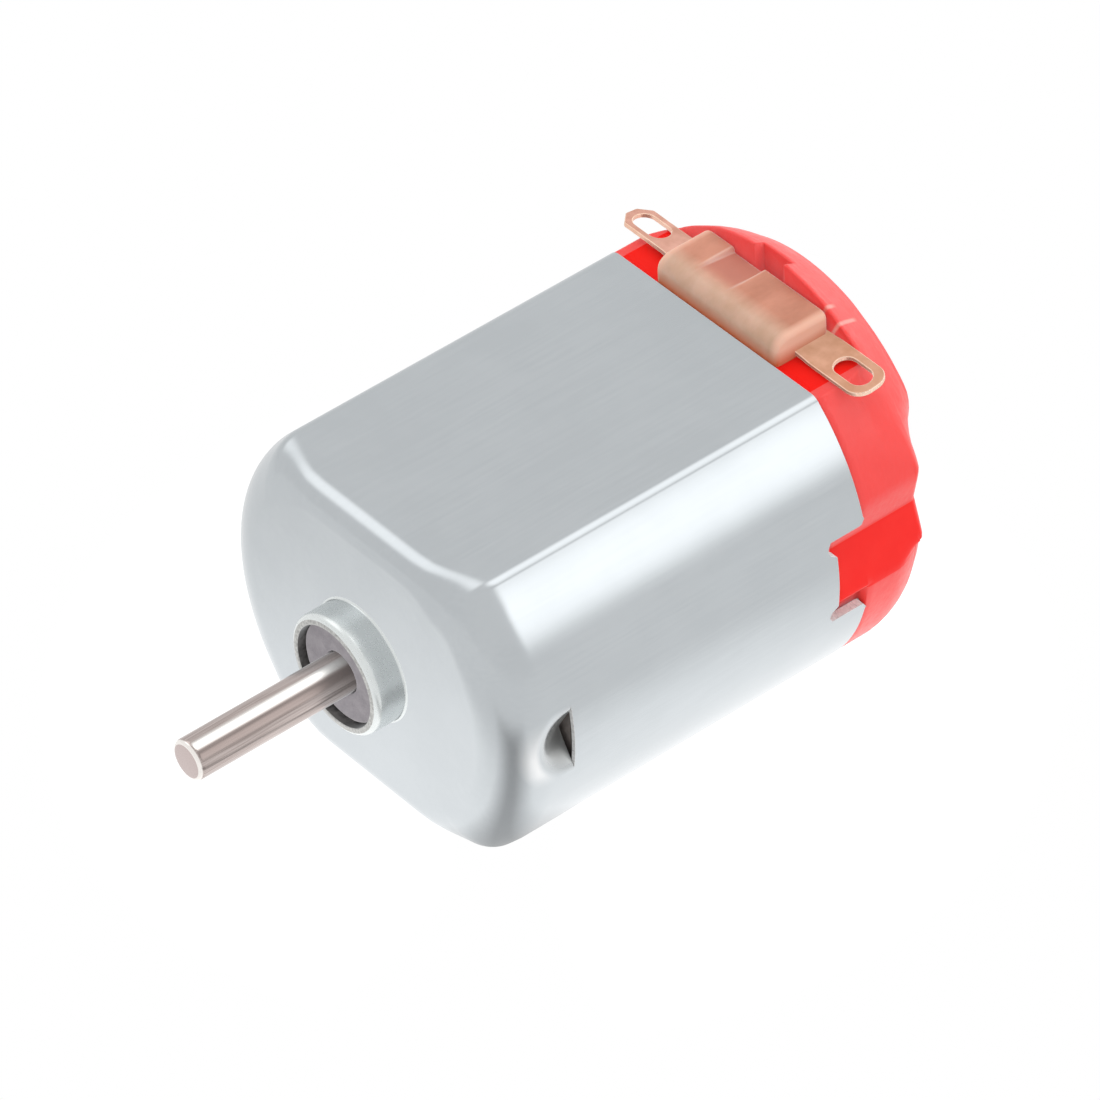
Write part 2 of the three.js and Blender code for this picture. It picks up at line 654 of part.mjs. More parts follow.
// A winding round one pole's neck, drawn on the pole that points up.
function makeCoil() {
  const stackRear = STACK_FRONT + PLATE_COUNT * PLATE_PITCH;
  const insulated = INSULATOR_THICKNESS + 0.12;
  const inner = {
    x: NECK_HALF_WIDTH + 0.15,
    y0: STACK_FRONT - insulated,
    y1: stackRear + insulated,
    radius: 0.3,
  };
  const outer = {
    x: COIL_HALF_WIDTH,
    y0: inner.y0 - COIL_OVERHANG,
    y1: inner.y1 + COIL_OVERHANG,
    radius: 1.2,
  };
  const loop = (path, { x, y0, y1, radius }) => {
    path.absarc(x - radius, y0 + radius, radius, -Math.PI / 2, 0, false);
    path.absarc(x - radius, y1 - radius, radius, 0, Math.PI / 2, false);
    path.absarc(-x + radius, y1 - radius, radius, Math.PI / 2, Math.PI, false);
    path.absarc(-x + radius, y0 + radius, radius, Math.PI, (3 * Math.PI) / 2, false);
    return path;
  };
  const shape = loop(new THREE.Shape(), outer);
  shape.holes.push(loop(new THREE.Path(), inner));
  const depth = COIL_OUTER - COIL_INNER;
  const geometry = new THREE.ExtrudeGeometry(shape, { depth, bevelEnabled: false, curveSegments: 4 });
  return solid(geometry.translate(0, 0, COIL_INNER));
}

// A copper segment of the commutator with the tang that its coil ends are welded to.
function makeSegment() {
  const outer = arcPoints(COMMUTATOR_RADIUS, 90 - SEGMENT_HALF_ANGLE, 90 + SEGMENT_HALF_ANGLE, 8);
  const inner = arcPoints(COMMUTATOR_RADIUS - 0.45, 90 + SEGMENT_HALF_ANGLE, 90 - SEGMENT_HALF_ANGLE, 8);
  const bar = alongY(polygon([...outer, ...inner]), COMMUTATOR_FRONT, COMMUTATOR_REAR);
  const tangThickness = 0.3;
  const tang = box(
    [-0.5, 0.5],
    [COMMUTATOR_FRONT, COMMUTATOR_FRONT + tangThickness],
    [COMMUTATOR_RADIUS - 0.3, 4.2],
  );
  return join(bar, tang);
}

// ---- Assembly ----

const FINISH = {
  zinc: { color: 0xc4c9cb, roughness: 0.35, metalness: 1 },
  steel: { color: 0xb8b2ab, roughness: 0.22, metalness: 1 },
  sintered: { color: 0x77757c, roughness: 0.6, metalness: 0.8 },
  cap: { color: 0xff2a22, roughness: 0.35, metalness: 0 },
  block: { color: 0xd9a68c, roughness: 0.4, metalness: 0 },
  copper: { color: 0xc98a5c, roughness: 0.35, metalness: 1 },
  ferrite: { color: 0x2c2c2e, roughness: 0.8, metalness: 0.1 },
  spring: { color: 0x8d9196, roughness: 0.3, metalness: 1 },
  carbon: { color: 0x26262a, roughness: 0.7, metalness: 0.2 },
  plate: { color: 0x8a8d90, roughness: 0.45, metalness: 1 },
  fibre: { color: 0x2f5d3a, roughness: 0.7, metalness: 0 },
  winding: { color: 0xa8481c, roughness: 0.3, metalness: 0.9 },
  moulding: { color: 0x1d1d1f, roughness: 0.5, metalness: 0 },
  varistor: { color: 0x3a3f46, roughness: 0.6, metalness: 0.1 },
  washer: { color: 0xe8e2d0, roughness: 0.5, metalness: 0 },
};

function part(name, shape, finish) {
  const mesh = new THREE.Mesh(geometryOf(shape), new THREE.MeshStandardMaterial(FINISH[finish]));
  mesh.name = name;
  return mesh;
}

// Turns a piece about the shaft axis by a fraction of a turn.
function spun(mesh, turns) {
  mesh.rotation.y = turns * Math.PI * 2;
  return mesh;
}

function makeStator() {
  const stator = new THREE.Group();
  const frontBearing = part("front_bearing", makeBearing(), "sintered");
  frontBearing.position.y = -BOSS_HEIGHT + BEARING_RECESS;
  const rearBearing = part("rear_bearing", makeBearing(), "sintered");
  rearBearing.position.y = REAR_BEARING_FRONT;
  stator.add(
    part("can", makeCan(), "zinc"),
    part("end_cap", makeEndCap(), "cap"),
    part("terminal_block", makeTerminalBlock(), "block"),
    frontBearing,
    rearBearing,
    part("magnet_right", makeMagnet(), "ferrite"),
    spun(part("magnet_left", makeMagnet(), "ferrite"), 1 / 2),
    part("magnet_spring", makeMagnetSpring(), "spring"),
  );
  for (const [name, side] of [["left", -1], ["right", 1]]) {
    stator.add(part(`terminal_${name}`, makeTerminal(side), "copper"));
  }
  return stator;
}

function makeBrushes() {
  const brushes = new THREE.Group();
  for (const [name, side] of [["left", -1], ["right", 1]]) {
    brushes.add(
      part(`brush_arm_${name}`, makeBrushArm(side), "copper"),
      part(`brush_${name}`, makeBrush(side), "carbon"),
    );
  }
  return brushes;
}

function makeRotor() {
  const rotor = new THREE.Group();
  const stackRear = STACK_FRONT + PLATE_COUNT * PLATE_PITCH;
  const gap = 0.04;
  rotor.add(part("shaft", makeShaft(), "steel"));
  for (let i = 0; i < PLATE_COUNT; i++) {
    const name = `lamination_${String(i + 1).padStart(2, "0")}`;
    rotor.add(part(name, makePlate(ROTOR_RADIUS, STACK_FRONT + i * PLATE_PITCH, PLATE_THICKNESS), "plate"));
  }
  const insulatorRadius = ROTOR_RADIUS - 0.2;
  const insulatorFront = STACK_FRONT - INSULATOR_THICKNESS - gap;
  rotor.add(
    part("insulator_front", makePlate(insulatorRadius, insulatorFront, INSULATOR_THICKNESS), "fibre"),
    part("insulator_rear", makePlate(insulatorRadius, stackRear, INSULATOR_THICKNESS), "fibre"),
  );
  for (let pole = 0; pole < POLES; pole++) {
    rotor.add(
      spun(part(`coil_${pole + 1}`, makeCoil(), "winding"), pole / POLES),
      spun(part(`commutator_segment_${pole + 1}`, makeSegment(), "copper"), (pole + 0.5) / POLES),
    );
  }
  const coreRadius = COMMUTATOR_RADIUS - 0.5;
  const coreFront = COMMUTATOR_FRONT - 0.9;
  const coreRear = COMMUTATOR_REAR + 0.3;
  const ringFront = COMMUTATOR_FRONT + 0.35;
  const varistorRear = COMMUTATOR_FRONT - 0.1;
  const washerRadius = 1.95;
  const bearingRear = BEARING_RECESS + BEARING_LENGTH - BOSS_HEIGHT;
  const turnedPiece = (name, inner, outer, y0, y1, finish) =>
    part(name, ring(inner, outer, y0, y1, SMALL_SEGMENTS), finish);
  rotor.add(
    turnedPiece("commutator_core", ROTOR_BORE, coreRadius, coreFront, coreRear, "moulding"),
    turnedPiece("commutator_ring", COMMUTATOR_RADIUS + gap, 2.75, ringFront, ringFront + 0.4, "moulding"),
    turnedPiece("varistor_ring", coreRadius + gap, 4.4, varistorRear - 0.6, varistorRear, "varistor"),
    turnedPiece("front_spacer", ROTOR_BORE, 1.8, bearingRear + 0.75, insulatorFront - gap, "moulding"),
    turnedPiece("washer_front", ROTOR_BORE, washerRadius, bearingRear + 0.2, bearingRear + 0.7, "washer"),
    turnedPiece("washer_rear", ROTOR_BORE, washerRadius, coreRear + 0.1, REAR_BEARING_FRONT - 0.15, "washer"),
  );
  return rotor;
}

const motor = new THREE.Group();
motor.add(makeStator(), makeBrushes(), makeRotor());
motor.position.set(0, -CAN_LENGTH / 2, BODY_HEIGHT / 2);

export default motor;
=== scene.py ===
"""The looks of a small flat-sided DC motor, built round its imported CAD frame."""

import math

import bpy
import numpy as np
from mathutils import Matrix, Vector


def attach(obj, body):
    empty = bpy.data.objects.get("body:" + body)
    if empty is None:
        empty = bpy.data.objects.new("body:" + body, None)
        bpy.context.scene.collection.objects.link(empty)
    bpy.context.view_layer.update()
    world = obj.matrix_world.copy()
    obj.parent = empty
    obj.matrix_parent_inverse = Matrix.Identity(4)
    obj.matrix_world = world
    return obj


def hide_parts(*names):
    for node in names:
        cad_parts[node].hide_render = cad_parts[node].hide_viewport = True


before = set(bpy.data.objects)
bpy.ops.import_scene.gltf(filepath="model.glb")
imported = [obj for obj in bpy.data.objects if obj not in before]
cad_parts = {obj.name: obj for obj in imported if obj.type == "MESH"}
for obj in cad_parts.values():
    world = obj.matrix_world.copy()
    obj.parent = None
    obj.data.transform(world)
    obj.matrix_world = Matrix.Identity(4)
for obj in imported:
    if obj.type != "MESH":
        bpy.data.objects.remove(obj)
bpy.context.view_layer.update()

# ---- Dimensions, in millimetres, in the motor's own frame: shaft axis Y, front face at y = 0 ----

BODY_WIDTH = 20.1
BODY_HEIGHT = 15.1
SIDE_RADIUS = 10.2
CREASE_RADIUS = 0.7
CAN_LENGTH = 20.2
CAN_WALL = 0.5
EDGE_FLAT, EDGE_SIDE, EDGE_BLEND = 1.2, 2.4, (3.5, 7.5)
BOSS_HEIGHT, BOSS_RADIUS, BOSS_BORE, BOSS_FILLET, BOSS_LIP, RIM_ROWS = 1.65, 2.95, 2.5, 0.1, 0.36, 6
STOP_REAR, STOP_DEPTH, STOP_RADIUS, STOP_HALF = 3.5, 1.1, 1.85, 2.4
SLIT_HALF, THINNING, THINNED_HALF = 1.75, 0.28, 2.0
CUT_BEVEL, TAB_BEVEL = 0.06, 0.04
NOTCH_FRONT, NOTCH_HALF, NOTCH_MOUTH = 18.5, 2.25, 0.3
RELIEF_RADIUS, RELIEF_INSET, RELIEF_FADE = 0.42, 0.35, 1.2
ROUND_SIDE = 6.0  # the can's columns that are further out in x than this are on its round sides

CAP_START, CAP_REAR, CAP_INSET, PLUG_INSET, PLUG_FRONT = 20.22, 25.5, 0.03, 0.56, 18.3
DOME_START, DOME_RADIUS, DOME_AXIAL, DOME_RADIAL, DOME_LEAN = 21.2, 10.12, 6.0, 6.4, (16, 38)
DOME_RADIAL_LOW, LOW_BLEND = 9.0, 7.0
BEVEL_START, BEVEL_CURVE, BEVEL_SLOPE = 23.4, 0.5, 1.9
SEAT, WALL_FRONT, WALL_NOTCH_HALF, WALL_NOTCH_REAR = 7.42, 23.4, 0.98, 23.95
CROWN_RISE, CROWN_ANGLE, SHOULDER_ANGLE = 0.06, 68.0, 62.0
# Pale painted highlight lines on the cap's crown and shoulder edges: (angle in degrees, first y, last y).
CROWN_HIGHLIGHT_LINES = ((67.0, 23.4, 24.0), (61.5, 22.9, 24.7))
GROOVE_TOP, GROOVE_BOTTOM, GROOVE_EDGE, GROOVE_FALL = (9.62, 3.15), (9.2, 1.37), (10.0, -1.25), 1.15
HUB_RADIUS, HUB_REAR, HUB_HOLE, HUB_FLOOR = 3.4, 26.3, 1.4, 24.45
CAP_WALL, CAP_SIDE, SOFT_CORNER, FAN_START, FAN_END = 1.5, 8.0, 0.2, 4.3, 6.3
KEY_FRONT, KEY_TOP = 18.55, 2.2

BLOCK_X, BLOCK_FRONT, BLOCK_REAR, BLOCK_TOP = 4.05, 20.27, 23.3, 8.85
BLOCK_ROLL, BLOCK_EDGE, BLOCK_END, BLOCK_CORNER = 0.85, 0.15, 0.3, 0.25
RECESS_LEFT, RECESS_RIGHT, RECESS_FRONT, RECESS_DEPTH, RECESS_STEP = -2.2, -0.12, 20.85, 0.28, 0.05
TAB_Y, TAB_HALF, TAB_BOTTOM, TAB_THICK = 22.35, {"left": 0.86, "right": 1.0}, 7.57, 0.22
TAB_TIP, TAB_CHAMFER, TAB_ROUND, TAB_ROOT = 8.2, 0.55, 0.8, 3.0
SLOT_X, SLOT_LENGTH, SLOT_WIDTH, TAB_STEPS = 6.75, 2.05, 1.12, 112
TWIST_START, TWIST_END = 4.0, 5.2
LEG_END, FOOT_TOP, FOOT_FRONT = 4.5, 5.6, 18.1

SHAFT_RADIUS, SHAFT_TIP, SHAFT_END = 1.0, -9.7, 25.6
BEARING_RADIUS, BEARING_BORE, BEARING_LENGTH = 2.46, 1.04, 2.45
BEARING_FRONT, BEARING_REAR = -1.25, 21.9

TOUCH = 0.01
FAR = 99.0


def part_y(y):
    """A place along the shaft, moved from the motor's frame to the part's."""
    return y - CAN_LENGTH / 2


def part_z(z):
    """A height above the shaft's axis, moved from the motor's frame to the part's."""
    return z + BODY_HEIGHT / 2


ORIGIN_SHIFT = np.array([0.0, part_y(0), part_z(0)])


def smoothstep(low, high, value):
    """0 up to low, 1 from high on, and smooth between them."""
    t = np.clip((np.asarray(value, float) - low) / (high - low), 0.0, 1.0)
    return t * t * (3 - 2 * t)


def soft_min(a, b, k):
    """The smaller of a and b, blended over k where they cross."""
    h = np.clip(0.5 + 0.5 * (b - a) / k, 0.0, 1.0)
    return b * (1 - h) + a * h - k * h * (1 - h)


# ---- Camera: the photograph's viewing angle ----

VIEW_ANGLES = (52.276, 40.945, -3.034)  # azimuth, elevation and roll, in degrees
VIEW_TARGET, VIEW_DISTANCE = (0.00285, -0.00181, 0.01080), 0.40187
SENSOR_WIDTH, FOCAL_LENGTH = 36, 304.98


def make_camera():
    azimuth, elevation, roll = (math.radians(v) for v in VIEW_ANGLES)
    level_share = math.cos(elevation)
    back = Vector((math.sin(azimuth) * level_share, -math.cos(azimuth) * level_share, math.sin(elevation)))
    level = Vector((math.cos(azimuth), math.sin(azimuth), 0))
    upright = back.cross(level)
    right = level * math.cos(roll) + upright * math.sin(roll)
    up = upright * math.cos(roll) - level * math.sin(roll)
    data = bpy.data.cameras.new("camera")
    data.sensor_width = SENSOR_WIDTH
    data.lens = FOCAL_LENGTH
    data.clip_start, data.clip_end = 0.01, 10
    camera = bpy.data.objects.new("camera", data)
    bpy.context.scene.collection.objects.link(camera)
    turn = Matrix((right, up, back)).transposed().to_4x4()
    place = Vector(VIEW_TARGET) + back * VIEW_DISTANCE
    camera.matrix_world = Matrix.Translation(place) @ turn
    bpy.context.scene.camera = camera


# ---- Materials ----


class Tree:
    """A short way to write a node tree; place is where its patterns and fades are measured from."""

    def __init__(self, tree, source="ShaderNodeTexCoord", output="Object"):
        self.tree = tree
        self.place = self.add(source).outputs[output]

    def add(self, kind, **inputs):
        node = self.tree.nodes.new(kind)
        for key, value in inputs.items():
            self.put(node.inputs[key.replace("_", " ")], value)
        return node

    def put(self, socket, value):
        if isinstance(value, bpy.types.NodeSocket):
            self.tree.links.new(value, socket)
        else:
            socket.default_value = value

    def scaled(self, scale):
        """Object coordinates in millimetres, stretched by scale."""
        node = self.add("ShaderNodeMapping", Vector=self.place)
        node.inputs["Scale"].default_value = [1000 * s for s in scale]
        return node.outputs["Vector"]

    def noise(self, scale, detail=3, stretch=(1, 1, 1)):
        """Noise from 0 to 1; scale is its frequency per millimetre, before the stretch."""
        node = self.add("ShaderNodeTexNoise", Vector=self.scaled(stretch))
        node.inputs["Scale"].default_value = scale
        node.inputs["Detail"].default_value = detail
        node.inputs["Roughness"].default_value = 0.55
        return node.outputs["Fac"]

    def ramp(self, value, low, high, out_low, out_high, smooth=False):
        """Maps low to high onto out_low to out_high, and holds the ends."""
        node = self.add("ShaderNodeMapRange", Value=value)
        if smooth:
            node.interpolation_type = "SMOOTHSTEP"
        limits = {"From Min": low, "From Max": high, "To Min": out_low, "To Max": out_high}
        for key, limit in limits.items():
            node.inputs[key].default_value = limit
        return node.outputs["Result"]

    def mix(self, factor, first, second):
        node = self.add("ShaderNodeMix")
        node.data_type = "RGBA"
        self.put(node.inputs["Factor"], factor)
        for socket, value in ((node.inputs[6], first), (node.inputs[7], second)):
            self.put(socket, (*value, 1) if isinstance(value, tuple) else value)
        return node.outputs[2]

    def maths(self, operation, first, second=0.0):
        node = self.add("ShaderNodeMath")
        node.operation = operation
        self.put(node.inputs[0], first)
        self.put(node.inputs[1], second)
        return node.outputs[0]

    def product(self, first, *others):
        for other in others:
            first = self.maths("MULTIPLY", first, other)
        return first

    def vector_maths(self, operation, first, second):
        """A number from two vectors: their DISTANCE or DOT_PRODUCT."""
        node = self.add("ShaderNodeVectorMath")
        node.operation = operation
        self.put(node.inputs[0], first)
        self.put(node.inputs[1], second)
        return node.outputs["Value"]

    def bump(self, height, distance, strength, normal=None):
        """A bump whose distance is in millimetres."""
        node = self.add("ShaderNodeBump", Height=height)
        node.inputs["Distance"].default_value = distance / 1000
        node.inputs["Strength"].default_value = strength
        if normal is not None:
            self.put(node.inputs["Normal"], normal)
        return node.outputs["Normal"]


class Nodes(Tree):
    """A new material's node tree."""

    def __init__(self, name, source="ShaderNodeTexCoord", output="Object"):
        self.material = bpy.data.materials.new(name)
        self.material.use_nodes = True
        super().__init__(self.material.node_tree, source, output)
        self.shader = self.tree.nodes["Principled BSDF"]

    def finish(self, **inputs):
        for key, value in inputs.items():
            self.put(self.shader.inputs[key.replace("_", " ")], value)
        return self.material


def axis_value(n, axis):
    """One object coordinate, in millimetres of the part's frame."""
    node = n.add("ShaderNodeSeparateXYZ", Vector=n.scaled((1, 1, 1)))
    return node.outputs[axis]


def zinc():
    """Zinc plating: satin grain and drawing marks, duller in the stops, and a painted highlight crescent
    before them.
    """
    n = Nodes("zinc_plating")
    cloud = n.noise(0.3)
    grain = n.noise(5)
    drawn = n.noise(2.0, stretch=(3, 0.12, 3))
    tone = n.maths("ADD", n.maths("MULTIPLY", cloud, 0.6), n.maths("MULTIPLY", drawn, 0.4))
    colour = n.mix(n.ramp(tone, 0.4, 0.6, 0, 1), (0.532, 0.562, 0.582), (0.552, 0.582, 0.602))
    along, height = axis_value(n, "Y"), axis_value(n, "Z")
    stop = part_y(STOP_REAR)
    reach = n.vector_maths("DISTANCE", n.scaled((0, 1, 1)), (0, stop, part_z(0)))
    pressed = n.product(n.ramp(reach, 1.1, 1.9, 1, 0), n.ramp(along, stop, stop + 0.05, 1, 0))
    colour = n.mix(pressed, colour, (0.52, 0.53, 0.525))
    # Painted highlight: a pale crescent just in front of each stop, where the plating would catch light.
    crescent = n.product(
        n.ramp(reach, 1.75, 2.0, 0, 0.75),
        n.ramp(reach, 2.1, 2.8, 1, 0),
        n.ramp(along, stop - 1.9, stop - 0.9, 1, 0),
        n.ramp(height, 7.4, 9.4, 1, 0),
        n.ramp(height, 5.4, 6.4, 0, 1),
    )
    colour = n.mix(crescent, colour, (0.9, 0.9, 0.9))
    normal = n.bump(grain, 0.0025, 0.3)
    normal = n.bump(drawn, 0.0005, 0.2, normal)
    roughness = n.maths("ADD", n.ramp(drawn, 0.3, 0.7, 0.20, 0.215), n.maths("MULTIPLY", pressed, 0.13))
    metallic = n.ramp(pressed, 0, 1, 1, 0.75)
    return n.finish(Base_Color=colour, Metallic=metallic, Roughness=roughness, Normal=normal)


def plated_boss():
    """The boss's plating: duller than the can's because its sheet was stretched, and paler as painted light.
    """
    n = Nodes("stretched_zinc_painted_light")
    grain = n.noise(5)
    cloud = n.noise(1.2)
    # Painted light: a paler copy of the can's plating colour, standing in for the light the boss catches.
    colour = n.mix(n.ramp(cloud, 0.35, 0.65, 0, 1), (0.765, 0.80, 0.795), (0.79, 0.825, 0.82))
    normal = n.bump(grain, 0.0025, 0.3)
    roughness = n.ramp(grain, 0.3, 0.7, 0.26, 0.3)
    return n.finish(Base_Color=colour, Metallic=0.8, Roughness=roughness, Normal=normal)


def sheared_steel():
    """The plated sheet's cut edges: bright burnished streaks across the thickness."""
    n = Nodes("sheared_edge")
    streak = n.noise(6, stretch=(1, 3, 3))
    colour = n.mix(n.ramp(streak, 0.35, 0.65, 0, 1), (0.58, 0.58, 0.58), (0.86, 0.86, 0.85))
    normal = n.bump(streak, 0.02, 0.5)
    roughness = n.ramp(streak, 0.3, 0.7, 0.25, 0.45)
    return n.finish(Base_Color=colour, Metallic=0.25, Roughness=roughness, Normal=normal)


def red_plastic(name, low, high, gloss, skin_height, painted_highlights=()):
    """Glossy red moulding, orange-peel skin; painted_highlights: pale painted highlight lines, (angle, first
    y, last y).
    """
    n = Nodes(name)
    cloud = n.noise(0.5)
    skin = n.noise(2.6, stretch=(1, 1.6, 1))
    colour = n.mix(n.ramp(cloud, 0.3, 0.7, 0, 1), low, high)
    # Painted highlights: thin pale lines where the crown meets the shoulder.
    for degrees, first, last in painted_highlights:
        along = axis_value(n, "Y")
        rise = n.maths("SUBTRACT", axis_value(n, "Z"), part_z(0))
        angle = n.maths("ARCTAN2", rise, axis_value(n, "X"))
        off_line = n.maths("ABSOLUTE", n.maths("SUBTRACT", angle, math.radians(degrees)))
        shown = n.product(
            n.ramp(off_line, math.radians(0.25), math.radians(0.8), 0.6, 0),
            n.ramp(along, part_y(first) - 0.05, part_y(first) + 0.05, 0, 1),
            n.ramp(along, part_y(last) - 0.25, part_y(last) + 0.05, 1, 0),
        )
        colour = n.mix(shown, colour, (1.0, 0.5, 0.42))
    normal = n.bump(skin, skin_height, 0.5)
    return n.finish(
        Base_Color=colour,
        Roughness=n.ramp(skin, 0.3, 0.7, 0.3, 0.4),
        Normal=normal,
        Subsurface_Weight=0.4,
        Subsurface_Radius=(1.0, 0.12, 0.1),
        Subsurface_Scale=0.0006,
        Specular_IOR_Level=gloss,
    )


def block_plastic():
    """Translucent beige moulding, paler ends; painted highlight on its front and recess edges; painted shade
    below and in recess.
    """
    n = Nodes("block_plastic")
    height = axis_value(n, "Z")
    across = axis_value(n, "X")
    along = axis_value(n, "Y")
    front, top = part_y(BLOCK_FRONT), part_z(BLOCK_TOP)
    cloud = n.noise(0.9, 4, stretch=(1, 0.5, 1))
    clouded = n.ramp(cloud, 0.35, 0.65, 0, 1)
    upper = n.mix(clouded, (0.54, 0.215, 0.13), (0.66, 0.285, 0.185))
    # Painted highlight: the rolled front gets paler colours than the top.
    rolled = n.mix(clouded, (0.61, 0.37, 0.25), (0.71, 0.45, 0.33))
    colour = n.mix(n.ramp(along, front + 0.5, front + 1.35, 0, 1), rolled, upper)
    ends = n.ramp(n.maths("ABSOLUTE", across), BLOCK_X - 0.5, BLOCK_X - 0.15, 0, 0.8)
    colour = n.mix(ends, colour, (0.92, 0.54, 0.40))
    # Painted shade: browner and redder towards the bottom, next to the cap.
    colour = n.mix(n.ramp(height, top - 1.3, top - 0.6, 1, 0), colour, (0.62, 0.15, 0.05))
    # Painted shade: darker inside the recess.
    recessed = n.ramp(along, front + 0.9, front + 1.6, 0, 0.75)
    inside = n.product(
        n.ramp(across, RECESS_LEFT - 0.04, RECESS_LEFT + 0.04, 0, 1),
        n.ramp(across, RECESS_RIGHT - 0.04, RECESS_RIGHT + 0.04, 1, 0),
        recessed,
    )
    colour = n.mix(inside, colour, (0.55, 0.175, 0.12))
    # Painted highlight: pale lines along the recess's two edges.
    for edge in (RECESS_LEFT, RECESS_RIGHT):
        off_edge = n.maths("ABSOLUTE", n.maths("SUBTRACT", across, edge))
        line = n.product(n.ramp(off_edge, 0.05, 0.16, 0.85, 0), recessed)
        colour = n.mix(line, colour, (0.86, 0.62, 0.52))
    normal = n.bump(cloud, 0.02, 0.3)
    return n.finish(
        Base_Color=colour,
        Roughness=n.ramp(cloud, 0.3, 0.7, 0.32, 0.45),
        Normal=normal,
        Subsurface_Weight=0.3,
        Subsurface_Radius=(1.0, 0.55, 0.35),
        Subsurface_Scale=0.0003,
    )


def copper(name, base, bright, rough=(0.28, 0.4), metallic=1.0):
    """Stamped copper alloy: rolled grain along X and slight tarnish."""
    n = Nodes(name)
    rolled = n.noise(2.5, stretch=(0.3, 4, 4))
    stain = n.noise(1.1)
    colour = n.mix(n.ramp(stain, 0.35, 0.7, 0, 1), base, bright)
    normal = n.bump(rolled, 0.01, 0.3)
    roughness = n.ramp(rolled, 0.3, 0.7, *rough)
    return n.finish(Base_Color=colour, Metallic=metallic, Roughness=roughness, Normal=normal)


def polished_steel():
    """Ground shaft: warm steel with fine lengthwise scratches, and painted highlight, reflection and shade
    bands.
    """
    n = Nodes("shaft_steel")
    normals = n.add("ShaderNodeTexCoord").outputs["Normal"]
    scratch = n.noise(2.2, stretch=(6, 0.12, 6))
    colour = n.mix(n.ramp(scratch, 0.38, 0.62, 0, 1), (0.40, 0.335, 0.315), (0.58, 0.505, 0.48))

    def facing(direction, inner, outer):
        """1 where the surface faces within the inner angle of a direction, 0 beyond the outer one."""
        near, far = math.cos(math.radians(inner)), math.cos(math.radians(outer))
        return n.ramp(n.vector_maths("DOT_PRODUCT", normals, direction), far, near, 0, 1)

    def round_to(angle):
        """The direction straight out of the shaft at an angle above its right side."""
        return math.cos(math.radians(angle)), 0, math.sin(math.radians(angle))

    # Painted dark reflection band along the shaft, about 42 degrees above its right side.
    colour = n.mix(facing(round_to(42), 4, 20), colour, (0.28, 0.23, 0.215))
    # Painted highlight band along the shaft, about 71 degrees above its right side.
    colour = n.mix(facing(round_to(71), 4, 16), colour, (0.99, 0.97, 0.94))
    # Painted highlight ring round the tip's rounded edge; the next line gives the end face a mid tone.
    colour = n.mix(facing((0, -1, 0), 62, 70), colour, (0.96, 0.92, 0.88))
    colour = n.mix(facing((0, -1, 0), 14, 20), colour, (0.62, 0.52, 0.50))
    # Painted shade on the shaft where it goes into the front bearing.
    painted_shade_near_bearing = n.ramp(axis_value(n, "Y"), part_y(-2.6), part_y(-1.3), 0, 1)
    colour = n.mix(n.maths("MULTIPLY", painted_shade_near_bearing, 0.55), colour, (0.13, 0.105, 0.10))
    bumped = n.bump(scratch, 0.003, 0.3)
    roughness = n.ramp(scratch, 0.3, 0.7, 0.14, 0.22)
    metallic = n.ramp(painted_shade_near_bearing, 0, 1, 1, 0.6)
    return n.finish(Base_Color=colour, Metallic=metallic, Roughness=roughness, Normal=bumped)


def sintered():
    """Oiled sintered bronze: dull, dark and finely pored."""
    n = Nodes("sintered_bronze")
    pores = n.noise(16, 2)
    patch = n.noise(1.5)
    colour = n.mix(n.ramp(patch, 0.3, 0.7, 0, 1), (0.27, 0.25, 0.27), (0.36, 0.335, 0.355))
    normal = n.bump(pores, 0.02, 0.5)
    roughness = n.ramp(pores, 0.3, 0.7, 0.42, 0.6)
    return n.finish(Base_Color=colour, Metallic=0.85, Roughness=roughness, Normal=normal)


def plain(name, dark, light, metal, rough, scale=3.0, stretch=(1, 1, 1), height=0.01):
    """A hidden piece's finish: two close colours in a fine grain, with matching roughness and bump."""
    n = Nodes(name)
    grain = n.noise(scale, stretch=stretch)
    colour = n.mix(n.ramp(grain, 0.3, 0.7, 0, 1), dark, light)
    normal = n.bump(grain, height, 0.4)
    roughness = n.ramp(grain, 0.3, 0.7, *rough)
    return n.finish(Base_Color=colour, Metallic=metal, Roughness=roughness, Normal=normal)


# ---- Meshes ----


def add_piece(name, points, faces, body, materials, marks=None, sharp=(), bevel=None):
    """A mesh in the motor's frame; marks are its faces' materials, and sharp lists its bevelled edges."""
    mesh = bpy.data.meshes.new(name)
    placed = (np.asarray(points, float) + ORIGIN_SHIFT) / 1000
    mesh.from_pydata(placed.tolist(), [], faces)
    mesh.validate()
    for material in materials:
        mesh.materials.append(material)
    if marks is not None:
        mesh.polygons.foreach_set("material_index", marks)
    mesh.polygons.foreach_set("use_smooth", [True] * len(mesh.polygons))
    piece = bpy.data.objects.new(name, mesh)
    bpy.context.scene.collection.objects.link(piece)
    if bevel:
        weights = mesh.attributes.new("bevel_weight_edge", "FLOAT", "EDGE")
        wanted = {tuple(sorted(e)) for e in sharp}
        values = [1.0 if tuple(sorted(e.vertices)) in wanted else 0.0 for e in mesh.edges]
        weights.data.foreach_set("value", values)
        modifier = piece.modifiers.new("edges", "BEVEL")
        modifier.limit_method = "WEIGHT"
        modifier.width = bevel / 1000
        modifier.segments = 2
        modifier.material = 1
        modifier.harden_normals = True
    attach(piece, body)
    return piece


def row_of(x, y, z):
    """One row of a grid's points; its columns may share one y."""
    return np.stack([x, np.full(len(x), y), z], 1)


